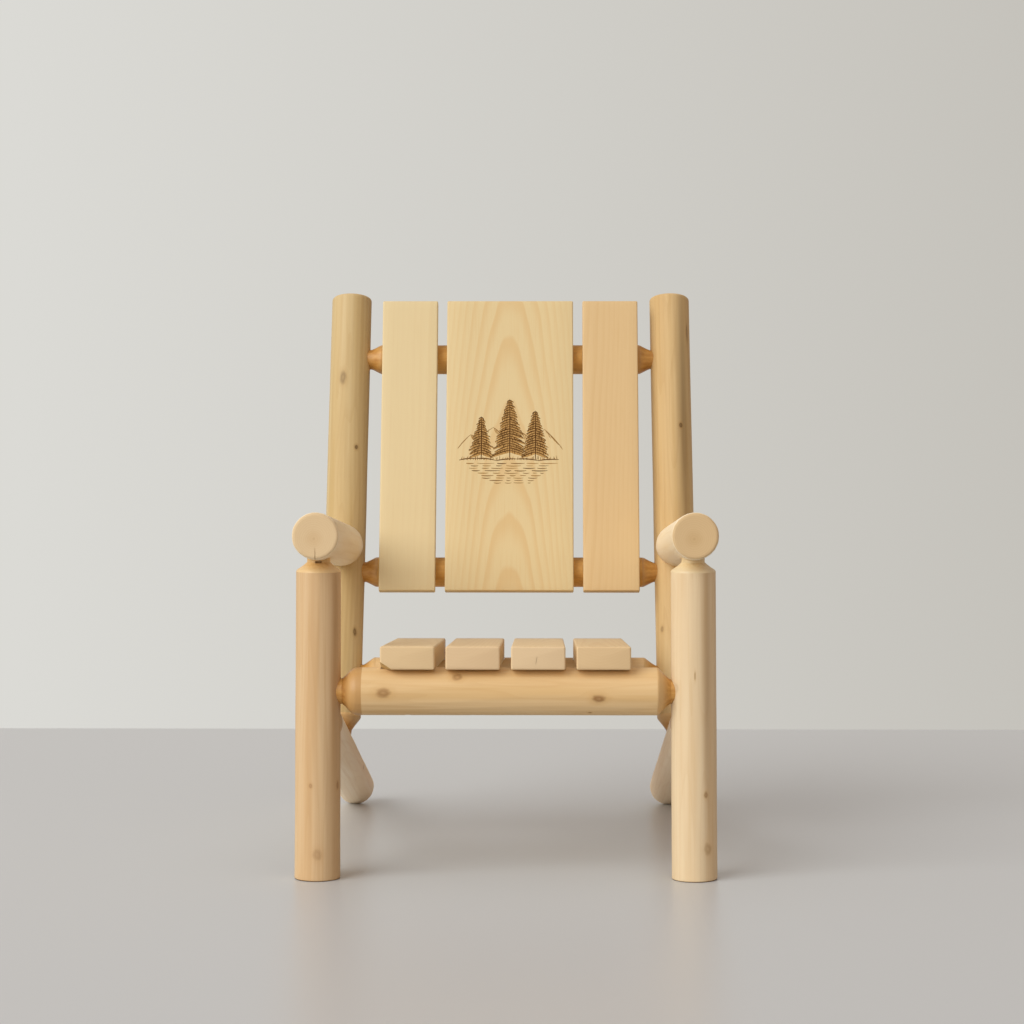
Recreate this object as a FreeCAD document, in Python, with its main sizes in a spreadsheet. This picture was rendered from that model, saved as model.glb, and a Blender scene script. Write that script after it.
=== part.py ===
# Log chair of peeled round logs, sawn seat slats and sawn back boards.
#
# Two flat side frames, each a front leg, a sloping rear leg, a leaning back post and an arm,
# are joined by four rails with tapered-shoulder tenons. The slats lie on the seat rails and
# the boards stand on the back rails, all screwed from the hidden side.
#
# Frame: millimetres, +Z up, the chair faces -Y, left and right as seen from its front.
# The origin is on the floor, in the middle of the chair's plan.
import FreeCAD, Part
import math
import os
import Sketcher

doc = FreeCAD.newDocument("log_chair")

# Driving dimensions: name, value in millimetres or degrees, meaning
DIMENSIONS = (
    ("leg_spread", "623", "between the front leg axes at the floor"),
    ("toe_in", "0.32", "angle of each side frame towards the middle at the back"),
    ("frame_lean", "0.42", "lean of each side frame towards the middle at the top"),
    ("leg_foot_diameter", "76.5", "front leg log at the floor"),
    ("leg_top_diameter", "75", "front leg log below its shoulder"),
    ("leg_shoulder_height", "509", "floor to the start of the leg's shoulder"),
    ("leg_shoulder_length", "14", "tapered shoulder under the arm"),
    ("leg_tenon_diameter", "38", "round tenon up into the arm"),
    ("leg_tenon_length", "50", "tenon inside the arm"),
    ("foot_easing", "3", "rounding of the leg's floor edge"),
    ("foot_allowance", "1", "wood sawn off level with the floor under the leaning leg"),
    ("arm_diameter", "78", "arm log"),
    ("arm_slope", "4.7", "arm falls towards the back"),
    ("arm_overhang", "65", "arm in front of the leg axis"),
    ("arm_cope_depth", "12", "lips of the arm's hollowed end beside the post"),
    ("arm_end_easing", "4", "rounding of the arm's front end"),
    ("front_rail_diameter", "80", "front seat rail log"),
    ("front_rail_height", "310", "floor to the front seat rail axis"),
    ("rear_rail_diameter", "70", "rear seat rail log"),
    ("seat_rail_shoulder_length", "21", "tapered shoulders of both seat rails"),
    ("seat_rail_tenon_diameter", "40", "tenons of both seat rails"),
    ("seat_rail_tenon_length", "46", "seat rail tenon inside its log"),
    ("rear_leg_diameter", "72", "sloping rear leg log"),
    ("rear_leg_slope", "16.2", "rear leg falls towards the back"),
    ("rear_leg_shoulder_length", "22", "tapered shoulder behind the front leg"),
    ("rear_leg_tenon_diameter", "36", "tenon into the front leg"),
    ("rear_leg_tenon_length", "44", "tenon inside the front leg"),
    ("rear_leg_end_easing", "3", "rounding of the rear leg's sawn end"),
    ("floor_flat_depth", "2.5", "height sawn off under the rear leg's end"),
    ("tenon_web", "3", "wood left between crossing tenons in the front leg"),
    ("post_diameter", "75", "back post log"),
    ("post_station", "393", "post axis along the rear leg from the front leg axis"),
    ("post_inset", "4", "post axis inside the rear leg axis"),
    ("post_shoulder_length", "26", "tapered shoulder above the rear leg"),
    ("post_tenon_diameter", "38", "tenon into the rear leg"),
    ("post_tenon_length", "48", "tenon inside the rear leg"),
    ("post_above_rail", "119.5", "post above the upper back rail axis"),
    ("post_top_easing", "6", "rounding of the post's top"),
    ("back_rail_diameter", "55", "both back rails"),
    ("back_rail_shoulder_length", "20", "tapered shoulders of the back rails"),
    ("back_rail_tenon_diameter", "35", "tenons of the back rails"),
    ("back_rail_tenon_length", "44", "back rail tenon inside the post"),
    ("lower_rail_below_arm", "50", "along the post from the arm axis to the lower back rail"),
    ("back_rail_spacing", "405.5", "between the back rail axes"),
    ("shoulder_hollow_radius", "45", "hollow curve of every tapered shoulder"),
    ("tenon_easing", "2", "chamfer of the tenon ends"),
    ("board_thickness", "19", "back boards"),
    ("centre_board_width", "233", "wide middle back board"),
    ("side_board_width", "102", "outer back boards"),
    ("board_gap", "17.5", "between the back boards"),
    ("board_below_rail", "44", "boards below the lower back rail axis"),
    ("board_above_rail", "100.5", "boards above the upper back rail axis"),
    ("board_seat_depth", "2", "flats planed into the back rails"),
    ("board_edge_radius", "3", "eased edges of the boards"),
    ("slat_width", "89", "seat slats"),
    ("slat_thickness", "38", "seat slats"),
    ("slat_gap", "18", "between the seat slats"),
    ("slat_slope", "3.55", "seat falls towards the back"),
    ("slat_front_overhang", "42", "slats in front of the front rail axis"),
    ("slat_rear_overhang", "26", "slats behind the rear rail axis"),
    ("slat_seat_depth", "3.2", "flats planed into the front seat rail"),
    ("rear_slat_seat_depth", "4.5", "flats planed into the rear seat rail"),
    ("slat_edge_radius", "3", "eased edges of the slats"),
    ("seat_clearance", "0.5", "planed flats beyond each side of a board or slat"),
    ("screw_diameter", "5", "wood screw shank"),
    ("screw_head_diameter", "10", "countersunk head"),
    ("screw_head_rim", "0.6", "straight rim of the head"),
    ("screw_point_length", "6", "tapered point"),
    ("screw_tip_diameter", "1", "blunt end of the point"),
    ("board_screw_length", "60", "screws through the back rails"),
    ("board_screw_bite", "13", "board screw inside its board"),
    ("board_screw_inset", "26", "board screw from the board's long edge"),
    ("slat_screw_length", "90", "screws through the seat rails"),
    ("slat_screw_bite", "30", "slat screw inside its slat"),
    ("lock_screw_length", "50", "screws that lock the rail tenons"),
    ("lock_screw_recess", "3", "lock screw head below the log's surface"),
    ("lag_diameter", "10", "lag screw that holds the arm on the post"),
    ("lag_length", "120", "lag screw below its head"),
    ("lag_point_length", "10", "tapered point"),
    ("lag_tip_diameter", "2", "blunt end of the point"),
    ("lag_head_width", "17", "hexagon across its flats"),
    ("lag_head_height", "6.5", "hexagon head"),
    ("lag_recess", "14", "washer seat below the back of the post"),
    ("washer_diameter", "24", "washer under the lag head"),
    ("washer_thickness", "2", "washer under the lag head"),
    ("washer_clearance", "2", "room round the washer in its recess"),
    ("glue_gap", "0.15", "room round each tenon, screw and hollowed seat"),
    ("tenon_end_room", "3", "room past the end of a tenon or screw"),
)

sizes = doc.addObject("Spreadsheet::Sheet", "Sizes")
for row, (alias, number, meaning) in enumerate(DIMENSIONS, start=1):
    sizes.set(f"A{row}", meaning)
    sizes.set(f"B{row}", number)
    sizes.setAlias(f"B{row}", alias)
doc.recompute()

# Worked-out places. A side frame's own plane has its origin on the floor at the front leg's
# axis: "back" is the distance behind that axis and "up" the height above the floor. A place on
# a post is measured along its axis from the rear leg's axis.
FORMULAS = (
    ("leg_radius_at_rail", "leg_foot_diameter / 2 - (leg_foot_diameter - leg_top_diameter) / 2"
     " * front_rail_height / leg_shoulder_height"),
    ("leg_tenon_end", "leg_shoulder_height + leg_shoulder_length + leg_tenon_length"),
    ("rear_leg_up", "front_rail_height - seat_rail_tenon_diameter / 2 - tenon_web"
     " - rear_leg_tenon_diameter / 2 / cos(rear_leg_slope)"),
    ("leg_radius_at_rear_leg", "leg_foot_diameter / 2 - (leg_foot_diameter - leg_top_diameter) / 2"
     " * (rear_leg_up - rear_leg_diameter / 2) / leg_shoulder_height"),
    ("rear_leg_shoulder", "(leg_radius_at_rear_leg + glue_gap"
     " + rear_leg_tenon_diameter / 2 * sin(rear_leg_slope)) / cos(rear_leg_slope)"),
    ("rear_leg_start", "rear_leg_shoulder - rear_leg_tenon_length"),
    ("rear_leg_end_up", "rear_leg_diameter / 2 * cos(rear_leg_slope) - floor_flat_depth"),
    ("rear_leg_run", "(rear_leg_up - rear_leg_end_up) / sin(rear_leg_slope)"),
    ("post_back", "post_station * cos(rear_leg_slope)"),
    ("post_up", "rear_leg_up - post_station * sin(rear_leg_slope)"),
    ("post_shoulder", "rear_leg_diameter / 2 + glue_gap"),
    ("arm_up", "leg_shoulder_height + leg_shoulder_length + glue_gap"
     " + leg_tenon_diameter / 2 * tan(arm_slope) + arm_diameter / 2 / cos(arm_slope)"),
    ("arm_on_post", "((arm_up - post_up) * cos(arm_slope) - post_back * sin(arm_slope))"
     " / cos(rear_leg_slope - arm_slope)"),
    ("arm_run", "(post_back + arm_on_post * sin(rear_leg_slope)) / cos(arm_slope)"),
    ("post_half_along_arm", "post_diameter / 2 / cos(rear_leg_slope - arm_slope)"),
    ("arm_length", "arm_overhang + arm_run - post_half_along_arm + arm_cope_depth"),
    ("lag_seat", "arm_run + post_half_along_arm - lag_recess"),
    ("lower_rail_on_post", "arm_on_post - lower_rail_below_arm"),
    ("upper_rail_on_post", "lower_rail_on_post + back_rail_spacing"),
    ("post_top", "upper_rail_on_post + post_above_rail"),
    ("slat_underside", "front_rail_diameter / 2 - slat_seat_depth"),
    ("rear_rail_rise", "slat_underside - rear_rail_diameter / 2 + rear_slat_seat_depth"),
    ("rear_rail_on_post", "(rear_rail_rise + (front_rail_height - post_up) * cos(slat_slope)"
     " - post_back * sin(slat_slope)) / cos(rear_leg_slope - slat_slope)"),
    ("rear_rail_back", "post_back + rear_rail_on_post * sin(rear_leg_slope)"),
    ("rear_rail_up", "post_up + rear_rail_on_post * cos(rear_leg_slope)"),
    ("lower_rail_back", "post_back + lower_rail_on_post * sin(rear_leg_slope)"),
    ("lower_rail_up", "post_up + lower_rail_on_post * cos(rear_leg_slope)"),
    ("upper_rail_back", "post_back + upper_rail_on_post * sin(rear_leg_slope)"),
    ("upper_rail_up", "post_up + upper_rail_on_post * cos(rear_leg_slope)"),
    ("front_reach", "arm_overhang * cos(arm_slope) + arm_diameter / 2 * sin(arm_slope)"),
    ("rear_reach", "rear_leg_run * cos(rear_leg_slope) + rear_leg_diameter / 2 * sin(rear_leg_slope)"),
    ("leg_place", "(front_reach - rear_reach) / 2 * cos(toe_in)"),
    ("seat_run", "rear_rail_back * cos(toe_in) * cos(slat_slope)"
     " + (front_rail_height - rear_rail_up) * sin(slat_slope)"),
    ("slat_length", "slat_front_overhang + seat_run + slat_rear_overhang"),
    ("slat_pitch", "slat_width + slat_gap"),
    ("board_underside", "back_rail_diameter / 2 - board_seat_depth"),
    ("board_length", "board_below_rail + back_rail_spacing + board_above_rail"),
    ("side_board_place", "centre_board_width / 2 + board_gap + side_board_width / 2"),
    ("front_rail_reach", "leg_spread / 2 - front_rail_height * sin(frame_lean)"
     " - leg_radius_at_rail - glue_gap - seat_rail_tenon_diameter / 2 * tan(frame_lean)"),
    ("rear_rail_reach", "leg_spread / 2 - rear_rail_up * sin(frame_lean)"
     " - rear_rail_back * sin(toe_in) - post_inset"
     " - post_diameter / 2 - glue_gap - seat_rail_tenon_diameter / 2 * tan(frame_lean)"),
    ("lower_rail_reach", "leg_spread / 2 - lower_rail_up * sin(frame_lean)"
     " - lower_rail_back * sin(toe_in) - post_inset"
     " - post_diameter / 2 - glue_gap - back_rail_tenon_diameter / 2 * tan(frame_lean)"),
    ("upper_rail_reach", "leg_spread / 2 - upper_rail_up * sin(frame_lean)"
     " - upper_rail_back * sin(toe_in) - post_inset"
     " - post_diameter / 2 - glue_gap - back_rail_tenon_diameter / 2 * tan(frame_lean)"),
    ("screw_head_height", "screw_head_rim + (screw_head_diameter - screw_diameter) / 2"),
)
DIMENSION_NAMES = {alias for alias, number, meaning in DIMENSIONS}


def full_name(word, layout_names):
    """Gives a bare name in a formula the sheet that holds it."""
    if word in DIMENSION_NAMES:
        return "Sizes." + word
    if word in layout_names:
        return "Layout." + word
    return word


def expression(formula):
    """Turns a formula of bare names into an expression of the document."""
    layout_names = {alias for alias, rule in FORMULAS}
    words = []
    word = ""
    for letter in formula + " ":
        if letter.isalnum() or letter in "_.":
            word += letter
            continue
        words.append(full_name(word, layout_names))
        words.append(letter)
        word = ""
    return "".join(words).strip()


layout = doc.addObject("Spreadsheet::Sheet", "Layout")
for row, (alias, formula) in enumerate(FORMULAS, start=1):
    layout.setAlias(f"B{row}", alias)
for row, (alias, formula) in enumerate(FORMULAS, start=1):
    layout.set(f"A{row}", alias)
    layout.set(f"B{row}", "=" + expression(formula))
doc.recompute()


def value(formula):
    """The number that a formula gives now."""
    return float(layout.evalExpression(expression(formula)))


def place(thing, base, axis=(0, 0, 1), angle="0", within=None):
    """Ties a placement to formulas, inside a named frame if one is given."""
    spot = "vector({}; {}; {})".format(*(expression(part) for part in base))
    turn = "rotation(vector({}; {}; {}); {})".format(*axis, expression(angle))
    rule = f"placement({spot}; {turn})"
    if within:
        rule = f"{within}.Placement * {rule}"
    thing.setExpression("Placement", rule)
    return thing


ACROSS = (1, 0, 0)
BACKWARD = (0, 1, 0)
UPWARD = (0, 0, 1)
SIDES = {"left": "-1", "right": "1"}

# Reference frames: the two side frames and their logs, the seat and the back
for side, sign in SIDES.items():
    foot = doc.addObject("App::Placement", "Foot_" + side)
    place(foot, (f"{sign} * leg_spread / 2", "leg_place", "0"), UPWARD, f"{sign} * toe_in")
    frame = doc.addObject("App::Placement", "Frame_" + side)
    place(frame, ("0", "0", "0"), BACKWARD, f"-({sign}) * frame_lean", within="Foot_" + side)
    logs = (
        ("Rear_leg_", ("0", "0", "rear_leg_up"), "-90 - rear_leg_slope"),
        ("Post_", (f"-({sign}) * post_inset", "post_back", "post_up"), "-rear_leg_slope"),
        ("Arm_", ("0", "0", "arm_up"), "-90 - arm_slope"),
    )
    for name, base, lean in logs:
        log_frame = doc.addObject("App::Placement", name + side)
        place(log_frame, base, ACROSS, lean, within="Frame_" + side)

seat = doc.addObject("App::Placement", "Seat")
place(seat, ("0", "leg_place", "front_rail_height"), ACROSS, "-slat_slope")
back = doc.addObject("App::Placement", "Back")
place(back, ("0", "leg_place + lower_rail_back * cos(toe_in)", "lower_rail_up"),
      ACROSS, "-rear_leg_slope")


def origin_plane(body, role):
    """One of a body's own origin planes."""
    return next(plane for plane in body.Origin.OriginFeatures if plane.Role == role)


def arc_between(start, end, radius, hollow):
    """The shorter arc between two profile points, and whether it runs from start to end."""
    chord = end - start
    middle = (start + end) / 2
    rise = math.sqrt(radius ** 2 - (chord.Length / 2) ** 2)
    normal = FreeCAD.Vector(chord.y, -chord.x, 0).normalize()
    centres = sorted((middle + normal * rise, middle - normal * rise), key=lambda spot: spot.x)
    centre = centres[1] if hollow else centres[0]
    from_angle = math.atan2(start.y - centre.y, start.x - centre.x)
    to_angle = math.atan2(end.y - centre.y, end.x - centre.x)
    turn = (to_angle - from_angle) % math.tau
    forward = turn < math.pi
    if not forward:
        from_angle, turn = to_angle, math.tau - turn
    circle = Part.Circle(centre, FreeCAD.Vector(0, 0, 1), radius)
    return Part.ArcOfCircle(circle, from_angle, from_angle + turn), forward


def turned(label, stations):
    """A round body about its own Z. Each station is a radius, a place along the axis and,
    where the line that leads to it is curved, its kind and its curve's radius."""
    body = doc.addObject("PartDesign::Body", label)
    sketch = body.newObject("Sketcher::SketchObject", label + "_profile")
    sketch.AttachmentSupport = [(origin_plane(body, "XZ_Plane"), "")]
    sketch.MapMode = "FlatFace"
    outline = [("0", stations[0][1])] + [tuple(station) for station in stations]
    outline.append(("0", stations[-1][1]))
    points = [FreeCAD.Vector(value(spot[0]), value(spot[1]), 0) for spot in outline]
    starts = []
    ends = []
    for index, start in enumerate(points):
        following = (index + 1) % len(points)
        curve = outline[following][2:]
        if curve:
            radius = value(curve[1])
            arc, forward = arc_between(start, points[following], radius, curve[0] == "hollow")
            line = sketch.addGeometry(arc, False)
            rule = sketch.addConstraint(Sketcher.Constraint("Radius", line, radius))
            sketch.setExpression(f"Constraints[{rule}]", expression(curve[1]))
        else:
            line = sketch.addGeometry(Part.LineSegment(start, points[following]), False)
            forward = True
        starts.append((line, 1 if forward else 2))
        ends.append((line, 2 if forward else 1))
    for index, spot in enumerate(outline):
        corner = starts[index]
        sketch.addConstraint(Sketcher.Constraint("Coincident", *ends[index - 1], *corner))
        for kind, formula, axis in (("DistanceX", spot[0], -2), ("DistanceY", spot[1], -1)):
            if formula == "0":
                sketch.addConstraint(Sketcher.Constraint("PointOnObject", *corner, axis))
                continue
            distance = Sketcher.Constraint(kind, -1, 1, *corner, value(formula))
            rule = sketch.addConstraint(distance)
            sketch.setExpression(f"Constraints[{rule}]", expression(formula))
    revolution = body.newObject("PartDesign::Revolution", label + "_revolution")
    revolution.Profile = sketch
    revolution.ReferenceAxis = (sketch, ["V_Axis"])
    revolution.Angle = 360
    return body


def plank(label, width, length, thickness, easing):
    """A sawn board from its own origin: width along X, length along Y, eased all round."""
    body = doc.addObject("PartDesign::Body", label)
    sketch = body.newObject("Sketcher::SketchObject", label + "_plan")
    sketch.AttachmentSupport = [(origin_plane(body, "XY_Plane"), "")]
    sketch.MapMode = "FlatFace"
    wide = value(width)
    long = value(length)
    corners = [(0, 0), (wide, 0), (wide, long), (0, long)]
    for index, corner in enumerate(corners):
        following = corners[(index + 1) % 4]
        sketch.addGeometry(Part.LineSegment(FreeCAD.Vector(*corner), FreeCAD.Vector(*following)), False)
    for index in range(4):
        sketch.addConstraint(Sketcher.Constraint("Coincident", index - 1 if index else 3, 2, index, 1))
    for index, kind in enumerate(("Horizontal", "Vertical", "Horizontal", "Vertical")):
        sketch.addConstraint(Sketcher.Constraint(kind, index))
    sketch.addConstraint(Sketcher.Constraint("Coincident", 0, 1, -1, 1))
    for index, kind, formula in ((0, "DistanceX", width), (1, "DistanceY", length)):
        rule = sketch.addConstraint(Sketcher.Constraint(kind, index, 1, index, 2, value(formula)))
        sketch.setExpression(f"Constraints[{rule}]", expression(formula))
    pad = body.newObject("PartDesign::Pad", label + "_pad")
    pad.Profile = sketch
    pad.setExpression("Length", expression(thickness))
    doc.recompute()
    fillet = body.newObject("PartDesign::Fillet", label + "_easing")
    fillet.Base = (pad, [f"Edge{number + 1}" for number in range(len(pad.Shape.Edges))])
    fillet.setExpression("Radius", expression(easing))
    return body


def peg(label, radius, length):
    """A plain round cutter about its own Z."""
    cylinder = doc.addObject("Part::Cylinder", label)
    cylinder.setExpression("Radius", expression(radius))
    cylinder.setExpression("Height", expression(length))
    return cylinder


def block(label, width, depth, height):
    """A plain square cutter from its own corner."""
    box = doc.addObject("Part::Box", label)
    box.setExpression("Length", expression(width))
    box.setExpression("Width", expression(depth))
    box.setExpression("Height", expression(height))
    return box


pieces = []


def finished(label, base, cutters=()):
    """Cuts a piece's mortises, seats and holes, one kind after another, and names it."""
    for number, cutter in enumerate(cutters, start=1):
        cut = doc.addObject("Part::Cut", f"{label}_cut_{number}")
        cut.Base = base
        cut.Tool = cutter
        base = cut
    base.Label = label
    pieces.append(base)


def group(label, pattern, spots):
    """Copies of one body, each at its own place, as one group of separate solids."""
    copies = []
    for number, (base, axis, angle, within) in enumerate(spots, start=1):
        copy = doc.addObject("App::Link", f"{label}_{number}")
        copy.LinkedObject = pattern
        copy.LinkTransform = False
        copies.append(place(copy, base, axis, angle, within))
    compound = doc.addObject("Part::Compound", label)
    compound.Links = copies
    return compound


# Wood screws and the holes drilled for them, head at the origin and point along +Z
HEAD_RADIUS = "screw_head_diameter / 2"
SHANK_RADIUS = "screw_diameter / 2"


def wood_screw(label, length):
    """A countersunk screw."""
    return turned(label, [
        (HEAD_RADIUS, "0"),
        (HEAD_RADIUS, "screw_head_rim"),
        (SHANK_RADIUS, "screw_head_height"),
        (SHANK_RADIUS, f"{length} - screw_point_length"),
        ("screw_tip_diameter / 2", length),
    ])


def screw_hole(label, length, reach):
    """Its drilled hole, with the head's recess reaching back out of the wood."""
    hole = turned(label, [
        (f"{HEAD_RADIUS} + glue_gap", "0"),
        (f"{HEAD_RADIUS} + glue_gap", f"{reach} + screw_head_rim"),
        (f"{SHANK_RADIUS} + glue_gap", f"{reach} + screw_head_height"),
        (f"{SHANK_RADIUS} + glue_gap", f"{reach} + {length} + glue_gap"),
    ])
    return hole


def screw_set(name, length, reach, spots):
    """A group of screws and the group of cutters for their holes."""
    screw = wood_screw(name + "_pattern", length)
    hole = screw_hole(name + "_hole_pattern", length, reach)
    place(hole, ("0", "0", f"-({reach})"))
    drilled = doc.addObject("Part::Compound", name + "_hole")
    drilled.Links = [hole]
    screws = group(name, screw, spots)
    return screws, group(name + "_holes", drilled, spots)


slat_places = [f"{step} * slat_pitch" for step in ("-1.5", "-0.5", "0.5", "1.5")]
slat_screw_spots = [
    ((across, rail, "slat_underside + slat_screw_bite - slat_screw_length"), UPWARD, "0", "Seat")
    for rail in ("0", "seat_run") for across in slat_places
]
slat_screws, slat_holes = screw_set(
    "seat_slat_screws", "slat_screw_length", "front_rail_diameter", slat_screw_spots)

board_edges = (
    "-side_board_place - side_board_width / 2 + board_screw_inset",
    "-side_board_place + side_board_width / 2 - board_screw_inset",
    "-centre_board_width / 2 + board_screw_inset",
    "centre_board_width / 2 - board_screw_inset",
    "side_board_place - side_board_width / 2 + board_screw_inset",
    "side_board_place + side_board_width / 2 - board_screw_inset",
)
board_screw_spots = [
    ((across, "board_screw_length - board_screw_bite - board_underside", rail), ACROSS, "90", "Back")
    for rail in ("0", "back_rail_spacing") for across in board_edges
]
board_screws, board_holes = screw_set(
    "back_board_screws", "board_screw_length", "back_rail_diameter", board_screw_spots)

lock_screw_spots = []
for side in SIDES:
    lock_screw_spots.append((("0", "leg_radius_at_rail - lock_screw_recess", "front_rail_height"),
                             ACROSS, "90", "Frame_" + side))
    for rail in ("rear_rail_on_post", "lower_rail_on_post", "upper_rail_on_post"):
        lock_screw_spots.append((("0", "post_diameter / 2 - lock_screw_recess", rail),
                                 ACROSS, "90", "Post_" + side))
lock_screws, lock_holes = screw_set(
    "rail_lock_screws", "lock_screw_length", "post_diameter", lock_screw_spots)

# Lag screws from behind the posts, along the arms, each with a washer in a bored recess
lag_shank = turned("lag_shank", [
    ("lag_diameter / 2", "0"),
    ("lag_diameter / 2", "lag_length - lag_point_length"),
    ("lag_tip_diameter / 2", "lag_length"),
])
lag_head = doc.addObject("Part::Prism", "lag_head")
lag_head.Polygon = 6
lag_head.setExpression("Circumradius", expression("lag_head_width / 2 / cos(30)"))
lag_head.setExpression("Height", expression("lag_head_height"))
place(lag_head, ("0", "0", "-lag_head_height"))
lag_screw = doc.addObject("Part::Fuse", "lag_screw")
lag_screw.Base = lag_shank
lag_screw.Tool = lag_head

washer_disc = peg("washer_disc", "washer_diameter / 2", "washer_thickness")
washer_bore = peg("washer_bore", "lag_diameter / 2 + glue_gap", "washer_thickness")
washer = doc.addObject("Part::Cut", "washer")
washer.Base = washer_disc
washer.Tool = washer_bore

lag_hole = turned("lag_hole", [
    ("washer_diameter / 2 + washer_clearance", "0"),
    ("washer_diameter / 2 + washer_clearance", "post_diameter"),
    ("lag_diameter / 2 + glue_gap", "post_diameter"),
    ("lag_diameter / 2 + glue_gap", "post_diameter + lag_length + glue_gap"),
])
lag_groups = {
    "arm_lag_screws": (lag_screw, "lag_seat + washer_thickness"),
    "arm_lag_washers": (washer, "lag_seat + washer_thickness"),
    "arm_lag_holes": (lag_hole, "lag_seat + post_diameter"),
}
lag_sets = {}
for label, (pattern, along) in lag_groups.items():
    spots = [(("0", "0", along), ACROSS, "180", "Arm_" + side) for side in SIDES]
    lag_sets[label] = group(label, pattern, spots)

# Back boards: name, width and place of the middle
BOARDS = (
    ("left", "side_board_width", "-side_board_place"),
    ("centre", "centre_board_width", "0"),
    ("right", "side_board_width", "side_board_place"),
)

# Round rails between the side frames: name, frame, place in it, diameter, shoulder, tenon, reach
RAILS = (
    ("front_seat_rail", "Seat", ("0", "0"), "front_rail_diameter", "seat_rail", "front_rail_reach"),
    ("rear_seat_rail", "Seat", ("seat_run", "rear_rail_rise"),
     "rear_rail_diameter", "seat_rail", "rear_rail_reach"),
    ("lower_back_rail", "Back", ("0", "0"), "back_rail_diameter", "back_rail", "lower_rail_reach"),
    ("upper_back_rail", "Back", ("0", "back_rail_spacing"),
     "back_rail_diameter", "back_rail", "upper_rail_reach"),
)

slat_seat = block("slat_seat", "slat_width + 2 * seat_clearance", "slat_length", "slat_thickness")
slat_seats = group("slat_seats", slat_seat, [
    ((f"{across} - slat_width / 2 - seat_clearance", "-slat_front_overhang", "slat_underside"),
     UPWARD, "0", "Seat") for across in slat_places
])
board_seats = doc.addObject("Part::Compound", "board_seats")
for name, width, across in BOARDS:
    board_seat = block(f"board_seat_{name}", f"{width} + 2 * seat_clearance",
                       "board_thickness", "board_length")
    place(board_seat, (f"{across} - {width} / 2 - seat_clearance",
                       "-board_underside - board_thickness", "-board_below_rail"), within="Back")
    board_seats.Links = board_seats.Links + [board_seat]
seats = {"Seat": (slat_seats, slat_holes), "Back": (board_seats, board_holes)}

rail_mortises = {}
for name, frame_name, (behind, above), diameter, kind, reach in RAILS:
    shoulder = f"{kind}_shoulder_length"
    tenon = f"{kind}_tenon_length"
    tenon_radius = f"{kind}_tenon_diameter / 2"
    total = f"2 * ({reach} + {tenon})"
    log = turned(name + "_log", [
        (f"{tenon_radius} - tenon_easing", "0"),
        (tenon_radius, "tenon_easing"),
        (tenon_radius, tenon),
        (f"{diameter} / 2", f"{tenon} + {shoulder}", "hollow", "shoulder_hollow_radius"),
        (f"{diameter} / 2", f"{total} - {tenon} - {shoulder}"),
        (tenon_radius, f"{total} - {tenon}", "hollow", "shoulder_hollow_radius"),
        (tenon_radius, f"{total} - tenon_easing"),
        (f"{tenon_radius} - tenon_easing", total),
    ])
    place(log, (f"-{reach} - {tenon}", behind, above), BACKWARD, "90", within=frame_name)
    mortise = peg(name + "_mortise", f"{tenon_radius} + glue_gap", f"{total} + 2 * tenon_end_room")
    place(mortise, (f"-{reach} - {tenon} - tenon_end_room", behind, above), BACKWARD, "90",
          within=frame_name)
    rail_mortises[name] = mortise
    finished(name, log, (*seats[frame_name], lock_holes))

floor_plane = block("floor_plane", "2 * leg_spread", "2 * rear_reach", "rear_leg_diameter")
place(floor_plane, ("-leg_spread", "leg_place - leg_foot_diameter", "-rear_leg_diameter"))

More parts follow.
